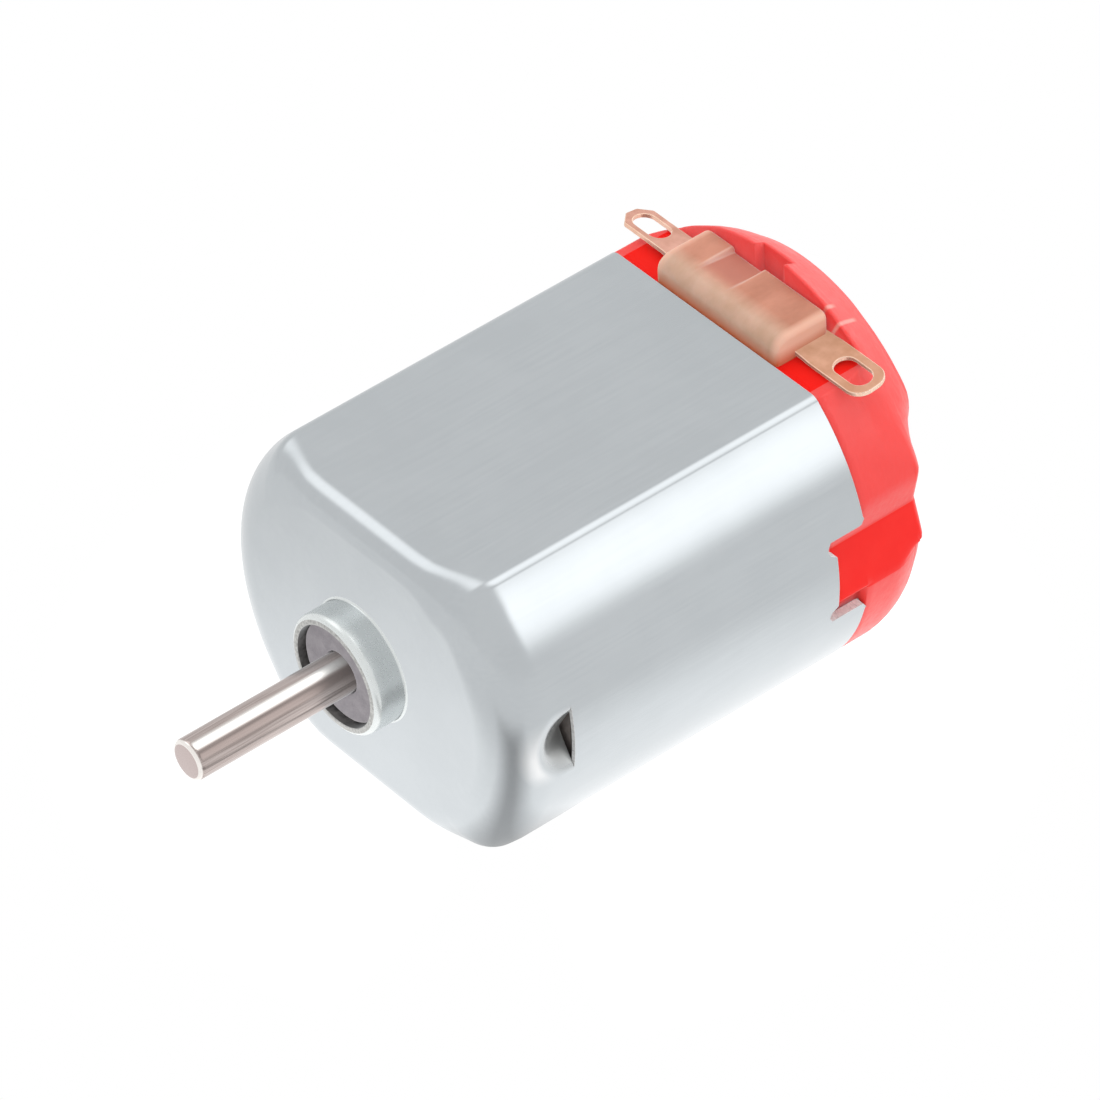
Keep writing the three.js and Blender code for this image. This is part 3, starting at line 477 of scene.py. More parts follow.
def spread_rows(edge, radius, y, shares):
    """Rows at y between an edge and a circle round the shaft axis, each some share of the way in."""
    direction = np.arctan2(edge[:, 2], edge[:, 0])
    rows = []
    for t in shares:
        x = edge[:, 0] * (1 - t) + radius * np.cos(direction) * t
        z = edge[:, 2] * (1 - t) + radius * np.sin(direction) * t
        rows.append(row_of(x, y, z))
    return rows


def grid_faces(rows, columns, closed):
    """Quads between neighbouring rows of points; a closed grid joins its last column to its first."""
    faces = []
    for r in range(rows - 1):
        for k in range(columns if closed else columns - 1):
            a = r * columns + k
            b = r * columns + (k + 1) % columns
            faces.append((a, b, b + columns, a + columns))
    return faces


TURN_STEPS = 96


def turned(name, profile, body, materials, segments=TURN_STEPS):
    """A profile of (radius, y) turned about the shaft axis; it runs from rear to front on the outside."""
    points = []
    for radius, y in profile:
        for k in range(segments):
            angle = 2 * math.pi * k / segments
            points.append((radius * math.cos(angle), y, radius * math.sin(angle)))
    faces = grid_faces(len(profile), segments, True)
    return add_piece(name, points, faces, body, materials)


def rounded_profile(corners, steps):
    """(radius, y) points along straight lines between corners, which are (radius, y, rounding)."""
    out = []
    last = len(corners) - 1
    for i, (r, y, rounding) in enumerate(corners):
        here = np.array([r, y])
        if rounding == 0 or i in (0, last):
            out.append((r, y))
            continue
        before = np.array(corners[i - 1][:2]) - here
        after = np.array(corners[i + 1][:2]) - here
        a = here + before / np.linalg.norm(before) * rounding
        b = here + after / np.linalg.norm(after) * rounding
        for s in range(steps + 1):
            t = s / steps
            out.append(tuple((1 - t) ** 2 * a + 2 * t * (1 - t) * here + t * t * b))
    return out


# ---- The body's outline, by columns round it ----


def body_columns(side_heights, crease_steps, flat_shares):
    """Columns round the body, from the middle of the right side upwards.

    Each is (kind, place, x sign, z sign). Kind 0 is a round side, 1 a crease and 2 a flat. The place runs
    from 0 to 1 up the side and round the crease, and from 1 to 0 along the flat to its middle.
    """
    centre = BODY_WIDTH / 2 - SIDE_RADIUS
    crease_z = BODY_HEIGHT / 2 - CREASE_RADIUS
    crease_x = centre + math.sqrt((SIDE_RADIUS - CREASE_RADIUS) ** 2 - crease_z**2)
    side_angle = math.atan2(crease_z, crease_x - centre)
    quarter = [(0, math.asin(z / SIDE_RADIUS) / side_angle) for z in side_heights]
    quarter += [(1, i / crease_steps) for i in range(crease_steps + 1)]
    quarter += [(2, share) for share in flat_shares]
    upper = [(kind, place, 1, 1) for kind, place in quarter]
    upper += [(2, 0.0, 1, 1)]
    upper += [(kind, place, -1, 1) for kind, place in reversed(quarter)]
    lower = [(kind, place, -sx, -sz) for kind, place, sx, sz in upper if (kind, place) != (0, 0.0)]
    return upper + lower


def outline(columns, inset, crease=CREASE_RADIUS):
    """The outline's point in each column, moved inwards by inset, which may differ between columns."""
    kind, place, sign_x, sign_z = np.array(columns, float).T
    inset = np.broadcast_to(np.asarray(inset, float), kind.shape)
    crease = np.maximum(np.broadcast_to(np.asarray(crease, float), kind.shape), 0.2)
    centre = BODY_WIDTH / 2 - SIDE_RADIUS
    side = SIDE_RADIUS - inset
    flat = BODY_HEIGHT / 2 - inset
    crease_x = centre + np.sqrt((side - crease) ** 2 - (flat - crease) ** 2)
    side_angle = np.arctan2(flat - crease, crease_x - centre)
    angle = np.where(kind == 0, side_angle * place, side_angle + (math.pi / 2 - side_angle) * place)
    x = np.where(kind == 0, centre + side * np.cos(angle), crease_x + crease * np.cos(angle))
    z = np.where(kind == 0, side * np.sin(angle), flat - crease + crease * np.sin(angle))
    x = np.where(kind == 2, crease_x * place, x)
    z = np.where(kind == 2, flat, z)
    return x * sign_x, z * sign_z


# ---- Can ----


def stop_surface(x, y, z, wall):
    """Presses the magnet stops' half cones into the round sides."""
    reach = np.sqrt((y - STOP_REAR) ** 2 + z**2 + 0.12**2)
    cone = BODY_WIDTH / 2 - STOP_DEPTH * (1 - reach / STOP_RADIUS) - wall
    softness = 0.1 + 0.25 * smoothstep(0, 1.2, STOP_REAR - y)
    pressed = np.sign(x) * soft_min(np.abs(x), cone, softness)
    inside = (y <= STOP_REAR) & (np.abs(z) < STOP_HALF) & (np.abs(x) > ROUND_SIDE)
    return np.where(inside, pressed, x)


# The can's rows run from its rear edge forwards, closest together at the notches and the stops, and then
# turn through EDGE_ANGLES round its front edge.
CAN_ROWS = [20.2, 20.05, 19.9, 19.6, 19.2, 18.85, NOTCH_FRONT, 18.2, 17.9, 17.4, 16.5, 15, 13, 11, 9, 7]
CAN_ROWS += [5.8, 5.0, 4.5, 4.1, 3.8, STOP_REAR + 0.02, STOP_REAR, *(3.4 - 0.1 * i for i in range(10))]
EDGE_ANGLES = [*range(90, 65, -3), 62, *range(58, 7, -5), 4, 0]
FACE_SHARES = (0.012, 0.06, 0.2, 0.45, 0.7, 0.88, 1.0)


def can_columns():
    heights = [0.1 * i for i in range(21)]
    heights += [NOTCH_HALF, 2.6, 2.95, 3.3, 3.7, 4.1, 4.5, 4.9, 5.3, 5.7, 6.1, 6.45, 6.75]
    return body_columns(heights, 8, [0.97, 0.93, 0.88, 0.82, 0.74, 0.64, 0.5, 0.34, 0.17])


def can_skin(columns, wall):
    """Rows on the can's outside, or wall further in, from the rear edge round to the front face."""
    base_x, base_z = outline(columns, 0)
    on_side = np.abs(base_x) > ROUND_SIDE
    reliefs = RELIEF_RADIUS**2 - (np.abs(base_z) - NOTCH_HALF + RELIEF_INSET) ** 2
    reliefs = np.where(on_side, np.sqrt(np.clip(reliefs, 0, None)), 0)
    at_corner = (np.abs(np.abs(base_z) - NOTCH_HALF) < TOUCH) & on_side
    rows = []
    for y in CAN_ROWS:
        thinned = THINNING * (np.abs(base_z) < THINNED_HALF) * (1 - smoothstep(0.1, 1.2, y - STOP_REAR))
        x, z = outline(columns, wall - np.where((y > STOP_REAR) & (wall > 0), thinned, 0))
        if wall:
            z = np.where(np.abs(base_z) <= NOTCH_HALF + TOUCH, base_z, z)
        row_y = np.full(len(columns), y) - max(0.0, 1 - abs(y - NOTCH_FRONT) / RELIEF_FADE) * reliefs
        past = max(0.0, y - (CAN_LENGTH - NOTCH_MOUTH))
        widened = NOTCH_MOUTH - math.sqrt(max(NOTCH_MOUTH**2 - past**2, 0))
        z = z + np.where(at_corner, np.sign(z) * widened, 0)
        if y <= STOP_REAR:
            x = stop_surface(x, row_y, z, wall)
        rows.append(row_of(x, row_y, z))
    radius = EDGE_FLAT + (EDGE_SIDE - EDGE_FLAT) * smoothstep(*EDGE_BLEND, np.abs(base_x)) - wall
    for degrees in EDGE_ANGLES:
        a = math.radians(degrees)
        moved = radius * (1 - math.sin(a))
        x, z = outline(columns, wall + moved, CREASE_RADIUS + 0.5 * moved)
        y = wall + radius * (1 - math.cos(a))
        x = stop_surface(x, y, z, wall)
        rows.append(row_of(x, y, z))
    return rows


def can_holes(columns):
    """Which cells, by row and column, are open: the notches, and the slit behind each stop."""
    base_x, base_z = outline(columns, 0)
    on_side = np.minimum(np.abs(base_x), np.abs(np.roll(base_x, -1))) >= ROUND_SIDE
    height = np.maximum(np.abs(base_z), np.abs(np.roll(base_z, -1)))
    holes = np.zeros((len(CAN_ROWS) + len(EDGE_ANGLES), len(columns)), bool)
    for r, y in enumerate(CAN_ROWS[1:]):
        if y >= NOTCH_FRONT:
            holes[r] = on_side & (height <= NOTCH_HALF + TOUCH)
        if y == STOP_REAR:
            holes[r] = on_side & (height < SLIT_HALF)
    return holes


def make_can():
    columns = can_columns()
    count = len(columns)
    outer, inner = can_skin(columns, 0.0), can_skin(columns, CAN_WALL)
    front = spread_rows(outer[-1], BOSS_RADIUS + BOSS_FILLET, 0.0, FACE_SHARES)
    depth = len(outer)
    inside = depth * count
    holes = can_holes(columns)
    faces, marks, sharp = [], [], []

    def wall(a, b):
        """A cut edge from the outer skin to the inner one."""
        faces.append((a, b, b + inside, a + inside))
        marks.append(1)
        sharp.extend([(a, b), (a + inside, b + inside)])

    for r in range(depth - 1):
        for k in range(count):
            if holes[r, k]:
                continue
            a, b = r * count + k, r * count + (k + 1) % count
            c, d = b + count, a + count
            faces.append((a, d, c, b))
            faces.append((a + inside, b + inside, c + inside, d + inside))
            marks.extend([0, 0])
            if r == 0 or holes[r - 1, k]:
                wall(a, b)
            if holes[r + 1, k]:
                wall(c, d)
            if holes[r, k - 1]:
                wall(d, a)
            if holes[r, (k + 1) % count]:
                wall(b, c)
    starts = [(depth - 1) * count] + [(2 * depth + r) * count for r in range(len(front))]
    for start, after in zip(starts, starts[1:]):
        for k in range(count):
            n = (k + 1) % count
            faces.append((start + k, after + k, after + n, start + n))
            marks.append(0)
    points = np.vstack([*outer, *inner, *front])
    skins = [zinc(), sheared_steel()]
    can = add_piece(
        "can_shell", points, faces, "stator", skins, marks, sharp, CUT_BEVEL
    )
    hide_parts("can")


def make_boss():
    """The can's drawn boss: a fillet up from the front face, a rounded lip and a bore darkened as painted
    shade.
    """
    # Painted shade: the bore's wall is given a dark steel.
    bore = plain("bore_wall_painted_shade", (0.16, 0.15, 0.15), (0.24, 0.225, 0.22), 1, (0.3, 0.45), 5)
    rim = plain("boss_rim", (0.33, 0.33, 0.32), (0.66, 0.66, 0.64), 0.9, (0.3, 0.5), 7, height=0.03)
    hidden = BOSS_RADIUS + BOSS_FILLET + 0.1
    foot = [
        (BOSS_RADIUS + BOSS_FILLET * (1 - math.cos(a)), -BOSS_FILLET * (1 - math.sin(a)), 0)
        for a in np.radians([90, 70, 50, 30, 15, 0])
    ]
    corners = [
        (BOSS_BORE, CAN_WALL, 0),
        (hidden, CAN_WALL, 0),
        (hidden, 0.02, 0),
        *foot,
        (BOSS_RADIUS, -0.9, 0),
        (BOSS_RADIUS, -BOSS_HEIGHT, BOSS_LIP),
        (BOSS_BORE, -BOSS_HEIGHT, 0.04),
        (BOSS_BORE, -0.8, 0),
        (BOSS_BORE, CAN_WALL, 0),
    ]
    profile = rounded_profile(corners, 4)
    boss = turned("can_boss", profile, "stator", [plated_boss(), rim, bore])
    bore_start = len(profile) - 3
    rim_start = bore_start - RIM_ROWS
    for polygon in boss.data.polygons:
        row = polygon.index // TURN_STEPS
        polygon.material_index = 2 if row >= bore_start else 1 if row >= rim_start else 0
    boss.visible_glossy = False
    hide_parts("can")


# ---- End cap ----


def bevel_drop(y):
    """How far the sides of the cap's rear have fallen inwards at y."""
    past = min(max(y - BEVEL_START, 0.0), CAP_REAR - BEVEL_START)
    if past < BEVEL_CURVE:
        return BEVEL_SLOPE * past**2 / (2 * BEVEL_CURVE)
    return BEVEL_SLOPE * (past - BEVEL_CURVE / 2)


def dome_radius(y, lean):
    """The dome's radius at y, where lean is the direction's angle above the horizontal, in degrees."""
    along = min(max(y - DOME_START, 0.0), CAP_REAR - DOME_START) / DOME_AXIAL
    fall = 1 - math.sqrt(1 - along * along)
    bevel = bevel_drop(y)
    side = bevel + max(DOME_RADIAL_LOW * fall - bevel, 0.0) * smoothstep(0, LOW_BLEND, -lean)
    return DOME_RADIUS - side + (side - DOME_RADIAL * fall) * smoothstep(*DOME_LEAN, np.abs(lean))


# The wall's front edges are rounded in steps of (how much further back, how much lower).
WALL_EASE = ((0, 0.1), (0.03, 0.03), (0.1, 0.0))


def cap_columns():
    heights = [0, 0.3, 0.6, 0.9, 1.05, 1.15, 1.22, 1.28, 1.33, 1.37, 1.41, 1.46, 1.55, 1.7, 1.9, 2.1]
    heights += [2.18, 2.22, 2.5, 2.8, 3.05, 3.15, 3.25, 3.5, 3.9, 4.3, 4.7, 5.1, 5.5, 5.9, 6.3, 6.65]
    shares = [0.985, 0.965, 0.94, 0.91, 0.88, 0.85, 0.82, 0.79, 0.76, 0.73, 0.7, 0.67, 0.64, 0.6, 0.56, 0.53]
    shares += [0.5, 0.46, 0.42, 0.38, 0.34, 0.3, 0.26, 0.22, 0.19, 0.165, 0.153, 0.147, 0.135, 0.1, 0.05]
    return body_columns(heights, 10, shares)


class CapRays:
    """The cap's columns as rays across the shaft, from (from_x, from_z) along (dx, dz).

    A reach is how far along its ray each column's point is. The rays fan out on the round sides, and run
    straight up or down in the middle of the flats.
    """

    def __init__(self, columns):
        px, pz = outline(columns, CAP_INSET)
        on_flat = np.array([c[0] for c in columns]) == 2
        tilt = np.where(on_flat, smoothstep(FAN_START, FAN_END, np.abs(px)), 1.0)
        length = np.hypot(px, pz)
        dx = tilt * px / length
        dz = (1 - tilt) * np.sign(pz) + tilt * pz / length
        norm = np.hypot(dx, dz)
        self.dx, self.dz = dx / norm, dz / norm
        self.body = px * self.dx + pz * self.dz
        self.from_x, self.from_z = px - self.dx * self.body, pz - self.dz * self.body
        self.off_axis = self.from_x**2 + self.from_z**2
        qx, qz = outline(columns, PLUG_INSET)
        self.plug = qx * self.dx + qz * self.dz
        self.upper = pz > 0
        self.lean = np.degrees(np.arctan2(pz, np.abs(px)))
        self.seat = np.where(self.dz > 0.3, (SEAT - self.from_z) / np.maximum(self.dz, 0.3), FAR)
        self.on_seat = self.upper & (self.seat < self.body) & on_flat
        self.in_notch = (np.abs(self.from_x + self.dx * self.seat) < WALL_NOTCH_HALF) & self.upper & on_flat

        on_side = np.abs(px) > CAP_SIDE
        above = (pz >= GROOVE_BOTTOM[1]) & (pz <= GROOVE_TOP[1] + 0.25) & on_side
        below = (pz < GROOVE_BOTTOM[1]) & (pz >= GROOVE_EDGE[1] - 0.12) & on_side
        either = np.maximum(self.line(GROOVE_TOP, GROOVE_BOTTOM), self.line(GROOVE_BOTTOM, GROOVE_EDGE))
        self.groove_front = np.where((above | below) & (np.abs(either) < 20), either, FAR)
        self.key = on_side & (pz <= KEY_TOP) & (pz >= GROOVE_EDGE[1])
        bottom = (np.abs(pz - GROOVE_BOTTOM[1]) < 0.05) & on_side
        self.flank = below & np.roll(below | bottom, -1) | np.roll(below, -1) & bottom

    def line(self, p, q):
        """Where each column's ray meets the line through p and q, drawn on the right and mirrored."""
        nx, nz = q[1] - p[1], p[0] - q[0]
        along = nx * np.abs(self.dx) + nz * self.dz
        distance = nx * (p[0] - np.abs(self.from_x)) + nz * (p[1] - self.from_z)
        crossing = np.abs(along) > 1e-6
        return np.where(crossing, distance / np.where(crossing, along, 1), FAR)

    def crown_rise(self, radius):
        """How much the crown stands proud of the dome."""
        reach = np.sqrt(np.maximum(radius**2 - self.off_axis, 0))
        angle = np.degrees(np.arctan2(self.from_z + reach * self.dz, np.abs(self.from_x + reach * self.dx)))
        return CROWN_RISE * np.clip((angle - SHOULDER_ANGLE) / (CROWN_ANGLE - SHOULDER_ANGLE), 0, 1)

    def dome(self, y, less=0.0):
        radius = dome_radius(y, self.lean) - less
        radius += self.crown_rise(radius)
        return np.sqrt(np.maximum(radius**2 - self.off_axis, 0.01))

    def groove(self, y):
        """The groove shrinks a little faster than the bevel, and runs on to the rear face."""
        shrink = 1 - GROOVE_FALL * bevel_drop(y) / DOME_RADIUS
        return np.where(self.groove_front < FAR - 9, self.groove_front * shrink, FAR)

    def low(self, y):
        """The reach in front of the wall, where the top is cut down to the terminals' seat."""
        reach = soft_min(self.body, self.groove(y), SOFT_CORNER)
        reach = np.minimum(reach, self.dome(y))
        return soft_min(reach, self.seat, 0.04)

    def high(self, y, less=0.0):
        """The reach in the wall and behind it, where the top follows the dome."""
        reach = soft_min(self.dome(y, less), self.groove(y), SOFT_CORNER)
        return np.minimum(reach, np.where(self.upper, FAR, self.body))

    def row(self, y, reach):
        return row_of(self.from_x + self.dx * reach, y, self.from_z + self.dz * reach)


def cap_sides(rays):
    """Rows from the plug's front edge to the rear face: plug, keys, seat, wall and dome."""
    keyed = np.where(rays.key, np.minimum(rays.groove_front, rays.body), rays.plug)
    rows = [
        (PLUG_FRONT, rays.plug - 0.4),
        (PLUG_FRONT, rays.plug - 0.1),
        (PLUG_FRONT + 0.1, rays.plug),
        (KEY_FRONT - 0.01, rays.plug),
        (KEY_FRONT, np.where(rays.key, keyed - 0.05, keyed)),
        (KEY_FRONT + 0.06, keyed),
    ]
    rows += [(y, keyed) for y in (18.9, 19.4, 19.9, 20.2)]
    rows.append((CAP_START, np.where(rays.key, keyed, rays.low(CAP_START) - 0.05)))
    rows.append((CAP_START + 0.05, rays.low(CAP_START)))
    rows += [(y, rays.low(y)) for y in (20.6, 21.0, 21.2, 21.4, 21.7, 22.0, 22.3, 22.6, 22.85, 23.1, 23.25)]
    rows.append((WALL_FRONT - 0.03, rays.low(WALL_FRONT - 0.03)))
    wall_steps = [(WALL_FRONT + back, less) for back, less in WALL_EASE]
    for y, less in (*wall_steps, (23.62, 0), (23.8, 0)):
        wall = np.maximum(rays.high(y, less), np.where(rays.upper, rays.low(y), 0))
        rows.append((y, np.where(rays.in_notch, rays.low(y), wall)))
    rows.append((WALL_NOTCH_REAR - 0.03, np.where(rays.in_notch, rays.low(23.9), rays.high(23.9))))
    for back, less in WALL_EASE:
        y = WALL_NOTCH_REAR + back
        rows.append((y, np.where(rays.in_notch, rays.high(y, less), rays.high(y))))
    rows += [(y, rays.high(y)) for y in (24.2, 24.4, 24.6, 24.8, 25.0, 25.15, 25.28)]
    for y, shape_y, less in ((-0.09, -0.14, 0), (-0.03, -0.1, 0.07), (0, -0.08, 0.22)):
        rows.append((CAP_REAR + y, rays.high(CAP_REAR + shape_y) - less))
    return [rays.row(y, reach) for y, reach in rows]


def cap_rear(edge, columns):
    """Rows over the flat rear face, out round the hub, into its hole and forwards again inside the cap."""
    foot = HUB_RADIUS + 0.25
    rows = spread_rows(edge, foot, CAP_REAR, (0.15, 0.45, 0.8, 1.0))
    corners = [
        (foot, CAP_REAR, 0),
        (HUB_RADIUS, CAP_REAR, 0.15),
        (HUB_RADIUS, HUB_REAR, 0.2),
        (HUB_HOLE, HUB_REAR, 0.12),
        (HUB_HOLE, HUB_FLOOR, 0),
    ]
    hub = rounded_profile(corners, 4)
    hub += [(BEARING_RADIUS + 0.05, HUB_FLOOR), (BEARING_RADIUS + 0.05, 22.5)]
    direction = np.arctan2(edge[:, 2], edge[:, 0])
    rows += [row_of(r * np.cos(direction), y, r * np.sin(direction)) for r, y in hub[1:]]
    x, z = outline(columns, CAP_WALL)
    return rows + [row_of(x, y, z) for y in (22.6, PLUG_FRONT + 0.1)]


def make_end_cap():
    columns = cap_columns()
    count = len(columns)
    rays = CapRays(columns)
    sides = cap_sides(rays)
    rows = sides + cap_rear(sides[-1], columns)
    points = np.vstack(rows)
    faces = grid_faces(len(rows), count, True)
    last = (len(rows) - 1) * count
    faces += [(last + k, last + (k + 1) % count, (k + 1) % count, k) for k in range(count)]
    marks = np.zeros(len(faces), int)
    for r in range(3, len(sides) - 3):
        marks[r * count : (r + 1) * count] = rays.flank
        if rows[r][0, 1] < WALL_FRONT - 0.05:
            marks[r * count : (r + 1) * count][rays.on_seat] = 2
    # The groove's lower flank and the seat under the block and tabs get less glossy, deeper red copies, as
    # painted shade.
    skins = [
        red_plastic("cap_plastic", (0.93, 0.026, 0.02), (0.97, 0.035, 0.028), 0.85, 0.05, CROWN_HIGHLIGHT_LINES),
        red_plastic("cap_groove_painted_shade", (0.95, 0.012, 0.008), (1.0, 0.02, 0.014), 0.25, 0.015),
        red_plastic("cap_seat_painted_shade", (0.98, 0.008, 0.004), (1.0, 0.014, 0.008), 0.08, 0.01),
    ]
    cap = add_piece("cap_moulding", points, faces, "stator", skins, marks.tolist())
    cap.visible_glossy = False
    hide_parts("end_cap")


# ---- Terminal block and terminals ----


def roll(distance, radius):
    """How far a rounded edge has dropped at a distance from its foot."""
    return radius - np.sqrt(np.maximum(radius**2 - np.clip(radius - distance, 0, radius) ** 2, 0))


def make_block():
    middle_y = (BLOCK_FRONT + BLOCK_REAR) / 2
    half_y = (BLOCK_REAR - BLOCK_FRONT) / 2
    rounding = [0, 0.01, 0.03, 0.06, 0.1, 0.15, 0.21, 0.28, 0.36]
    front_ys = [*rounding, 0.46, 0.57, 0.7, 0.85, 1.0, 1.2, 1.6, 2.0, 2.4]
    rear_ys = [0.4, 0.3, 0.22, 0.17, 0.12, 0.08, 0.05, 0.025, 0.01, 0]
    ys = [BLOCK_FRONT + d for d in front_ys] + [BLOCK_REAR - d for d in rear_ys]
    steps = []
    for at in (RECESS_LEFT, RECESS_RIGHT):
        steps += [at + d for d in (-0.25, -0.1, -0.05, -0.02, 0.02, 0.05, 0.1, 0.25)]
    ends = [BLOCK_X - d for d in (*rounding, 0.45, 0.6, 0.8, 1.15)]
    xs = np.array(sorted([*ends, *[-v for v in ends], *steps, -1.6, -1.1, -0.6, 0.5, 1.0, 1.6, 2.2, -2.7]))
    inner = 2.9  # further out than this, the columns close up to follow the rounded corners
    rows = []
    for y in ys:
        cut_back = max(0.0, abs(y - middle_y) - (half_y - BLOCK_CORNER))
        half_x = BLOCK_X - BLOCK_CORNER + math.sqrt(max(BLOCK_CORNER**2 - cut_back**2, 0))
        stretch = (half_x - inner) / (BLOCK_X - inner)
        x = np.where(np.abs(xs) < inner, xs, np.sign(xs) * (inner + (np.abs(xs) - inner) * stretch))
        drop = roll(y - BLOCK_FRONT, BLOCK_ROLL) + roll(BLOCK_REAR - y, BLOCK_EDGE)
        drop += roll(half_x - np.abs(x), BLOCK_END)
        inside = smoothstep(RECESS_LEFT - RECESS_STEP, RECESS_LEFT + RECESS_STEP, x)
        inside = inside * (1 - smoothstep(RECESS_RIGHT - RECESS_STEP, RECESS_RIGHT + RECESS_STEP, x))
        ramp = np.clip((y - RECESS_FRONT) / (BLOCK_REAR - RECESS_FRONT), 0, 1)
        z = BLOCK_TOP - drop - RECESS_DEPTH * inside * ramp
        rows.append(row_of(x, y, z))
    height, width = len(rows), len(xs)
    points = list(np.vstack(rows))
    faces = grid_faces(height, width, False)
    rim = list(range(width))
    rim += [r * width + width - 1 for r in range(1, height)]
    rim += [(height - 1) * width + k for k in range(width - 2, -1, -1)]
    rim += [r * width for r in range(height - 2, 0, -1)]
    below = len(points)
    levels = (7.6, 7.5, SEAT + 0.02)
    for level in levels:
        points += [(points[i][0], points[i][1], min(level, points[i][2])) for i in rim]
    size = len(rim)
    for i in range(size):
        j = (i + 1) % size
        faces.append((rim[j], rim[i], below + i, below + j))
        for level in range(len(levels) - 1):
            a, b = below + level * size + i, below + level * size + j
            faces.append((b, a, a + size, b + size))
    faces.append(tuple(below + (len(levels) - 1) * size + i for i in range(size)))
    block = add_piece("block_moulding", points, faces, "stator", [block_plastic()])
    block.visible_glossy = False
    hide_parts("terminal_block")


def tab_reach(c, s, half, rounded):
    """How far the tab's outline is from the slot's centre, in the direction (c, s)."""
    tip = TAB_TIP - SLOT_X
    across = half / max(abs(s), 1e-9)
    if c < 0:
        return min(across, (TAB_ROOT - SLOT_X) / min(c, -1e-9))
    reach = min(across, tip / max(c, 1e-9))
    if not rounded:
        return min(reach, (tip + half - TAB_CHAMFER) / (c + abs(s)))
    cx, cy = tip - TAB_ROUND, half - TAB_ROUND
    if reach * c > cx and reach * abs(s) > cy:
        along = c * cx + abs(s) * cy
        reach = along + math.sqrt(max(along**2 - cx**2 - cy**2 + TAB_ROUND**2, 0))
    return reach


def make_terminal(name, side, rounded, twist, sheet, edge):
    """A slotted tab with a leg down into the cap, mirrored by side; twist turns the tab about its length."""
    half = TAB_HALF[name]
    corner_angles = [math.atan2(s * half, TAB_ROOT - SLOT_X) for s in (-1, 1)]
    angles = sorted([*np.linspace(-math.pi, math.pi, TAB_STEPS, endpoint=False), *corner_angles])
    slot_radius = SLOT_WIDTH / 2
    reach = SLOT_LENGTH / 2 - slot_radius
    shares = (0, 0.15, 0.6, 1)
    loops = [[] for _ in shares]
    for a in angles:
        c, s = math.cos(a), math.sin(a)
        outer = tab_reach(c, s, half, rounded)
        centre = reach if c > 0 else -reach
        inner = slot_radius / max(abs(s), 1e-9)
        if abs(inner * c) > reach:
            b = c * centre
            inner = b + math.sqrt(max(b * b - centre**2 + slot_radius**2, 0))
        for loop, share in zip(loops, shares):
            t = inner + (outer - inner) * share
            loop.append((SLOT_X + t * c, t * s))
    count = len(angles)
    middle = TAB_BOTTOM + TAB_THICK / 2
    points = []
    for z in (TAB_BOTTOM + TAB_THICK, TAB_BOTTOM):
        for loop in loops:
            for x, y in loop:
                turn = math.radians(twist) * float(smoothstep(TWIST_START, TWIST_END, x))
                turned_y = y * math.cos(turn) - (z - middle) * math.sin(turn)
                turned_z = y * math.sin(turn) + (z - middle) * math.cos(turn)
                points.append((side * x, TAB_Y + turned_y, middle + turned_z))
    layer = count * len(loops)
    faces, marks, sharp = [], [], []

    def face(corners, mark):
        faces.append(tuple(corners if side > 0 else reversed(corners)))
        marks.append(mark)

    for r in range(len(loops) - 1):
        for k in range(count):
            a, b = r * count + k, r * count + (k + 1) % count
            face((a, a + count, b + count, b), 0)
            face((a + layer, b + layer, b + count + layer, a + count + layer), 0)
    rim = (len(loops) - 1) * count
    for k in range(count):
        n = (k + 1) % count
        face((k, n, n + layer, k + layer), 1)
        face((rim + n, rim + k, rim + k + layer, rim + n + layer), 1)
        for a, b in ((k, n), (rim + k, rim + n)):
            sharp += [(a, b), (a + layer, b + layer)]

    def block(x0, x1, y0, y1, z0, z1):
        start = len(points)
        points.extend((side * x, y, z) for x in (x0, x1) for y in (y0, y1) for z in (z0, z1))
        for corners in ((0, 1, 3, 2), (4, 6, 7, 5), (0, 4, 5, 1), (2, 3, 7, 6), (0, 2, 6, 4), (1, 5, 7, 3)):
            face([start + i for i in corners], 0)

    leg = (TAB_ROOT, TAB_ROOT + TAB_THICK)
    block(*leg, TAB_Y - half, TAB_Y + half, LEG_END, TAB_BOTTOM)
    block(*leg, FOOT_FRONT, TAB_Y - half, LEG_END, FOOT_TOP)
    piece, finish = "terminal_tab_" + name, [sheet, edge]
    tab = add_piece(piece, points, faces, "stator", finish, marks, sharp, TAB_BEVEL)
    tab.visible_glossy = False
    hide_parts("terminal_" + name)


# ---- Turned pieces ----


def make_turned_pieces():
    rod = [(0.001, SHAFT_END, 0), (SHAFT_RADIUS, SHAFT_END, 0.2)]
    rod += [(SHAFT_RADIUS, SHAFT_TIP, 0.3), (0.001, SHAFT_TIP, 0)]
    shaft = turned("shaft_rod", rounded_profile(rod, 6), "rotor", [polished_steel()], 64)
    shaft.visible_glossy = False
    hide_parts("shaft")
    bronze = sintered()
    for name, node, front in (
        ("bearing_front", "front_bearing", BEARING_FRONT),
        ("bearing_rear", "rear_bearing", BEARING_REAR),
    ):
        rear = front + BEARING_LENGTH
        bush = [
            (BEARING_BORE + 0.6, rear, 0),
            (BEARING_RADIUS, rear, 0.15),
            (BEARING_RADIUS, front, 0.15),
            (BEARING_BORE, front, 0.12),
            (BEARING_BORE, rear, 0.12),
            (BEARING_BORE + 0.6, rear, 0),
        ]
        bearing = turned(name, rounded_profile(bush, 4), "stator", [bronze])
        bearing.visible_glossy = False
        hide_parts(node)


# ---- Finishes of the nodes that stay as packed ----


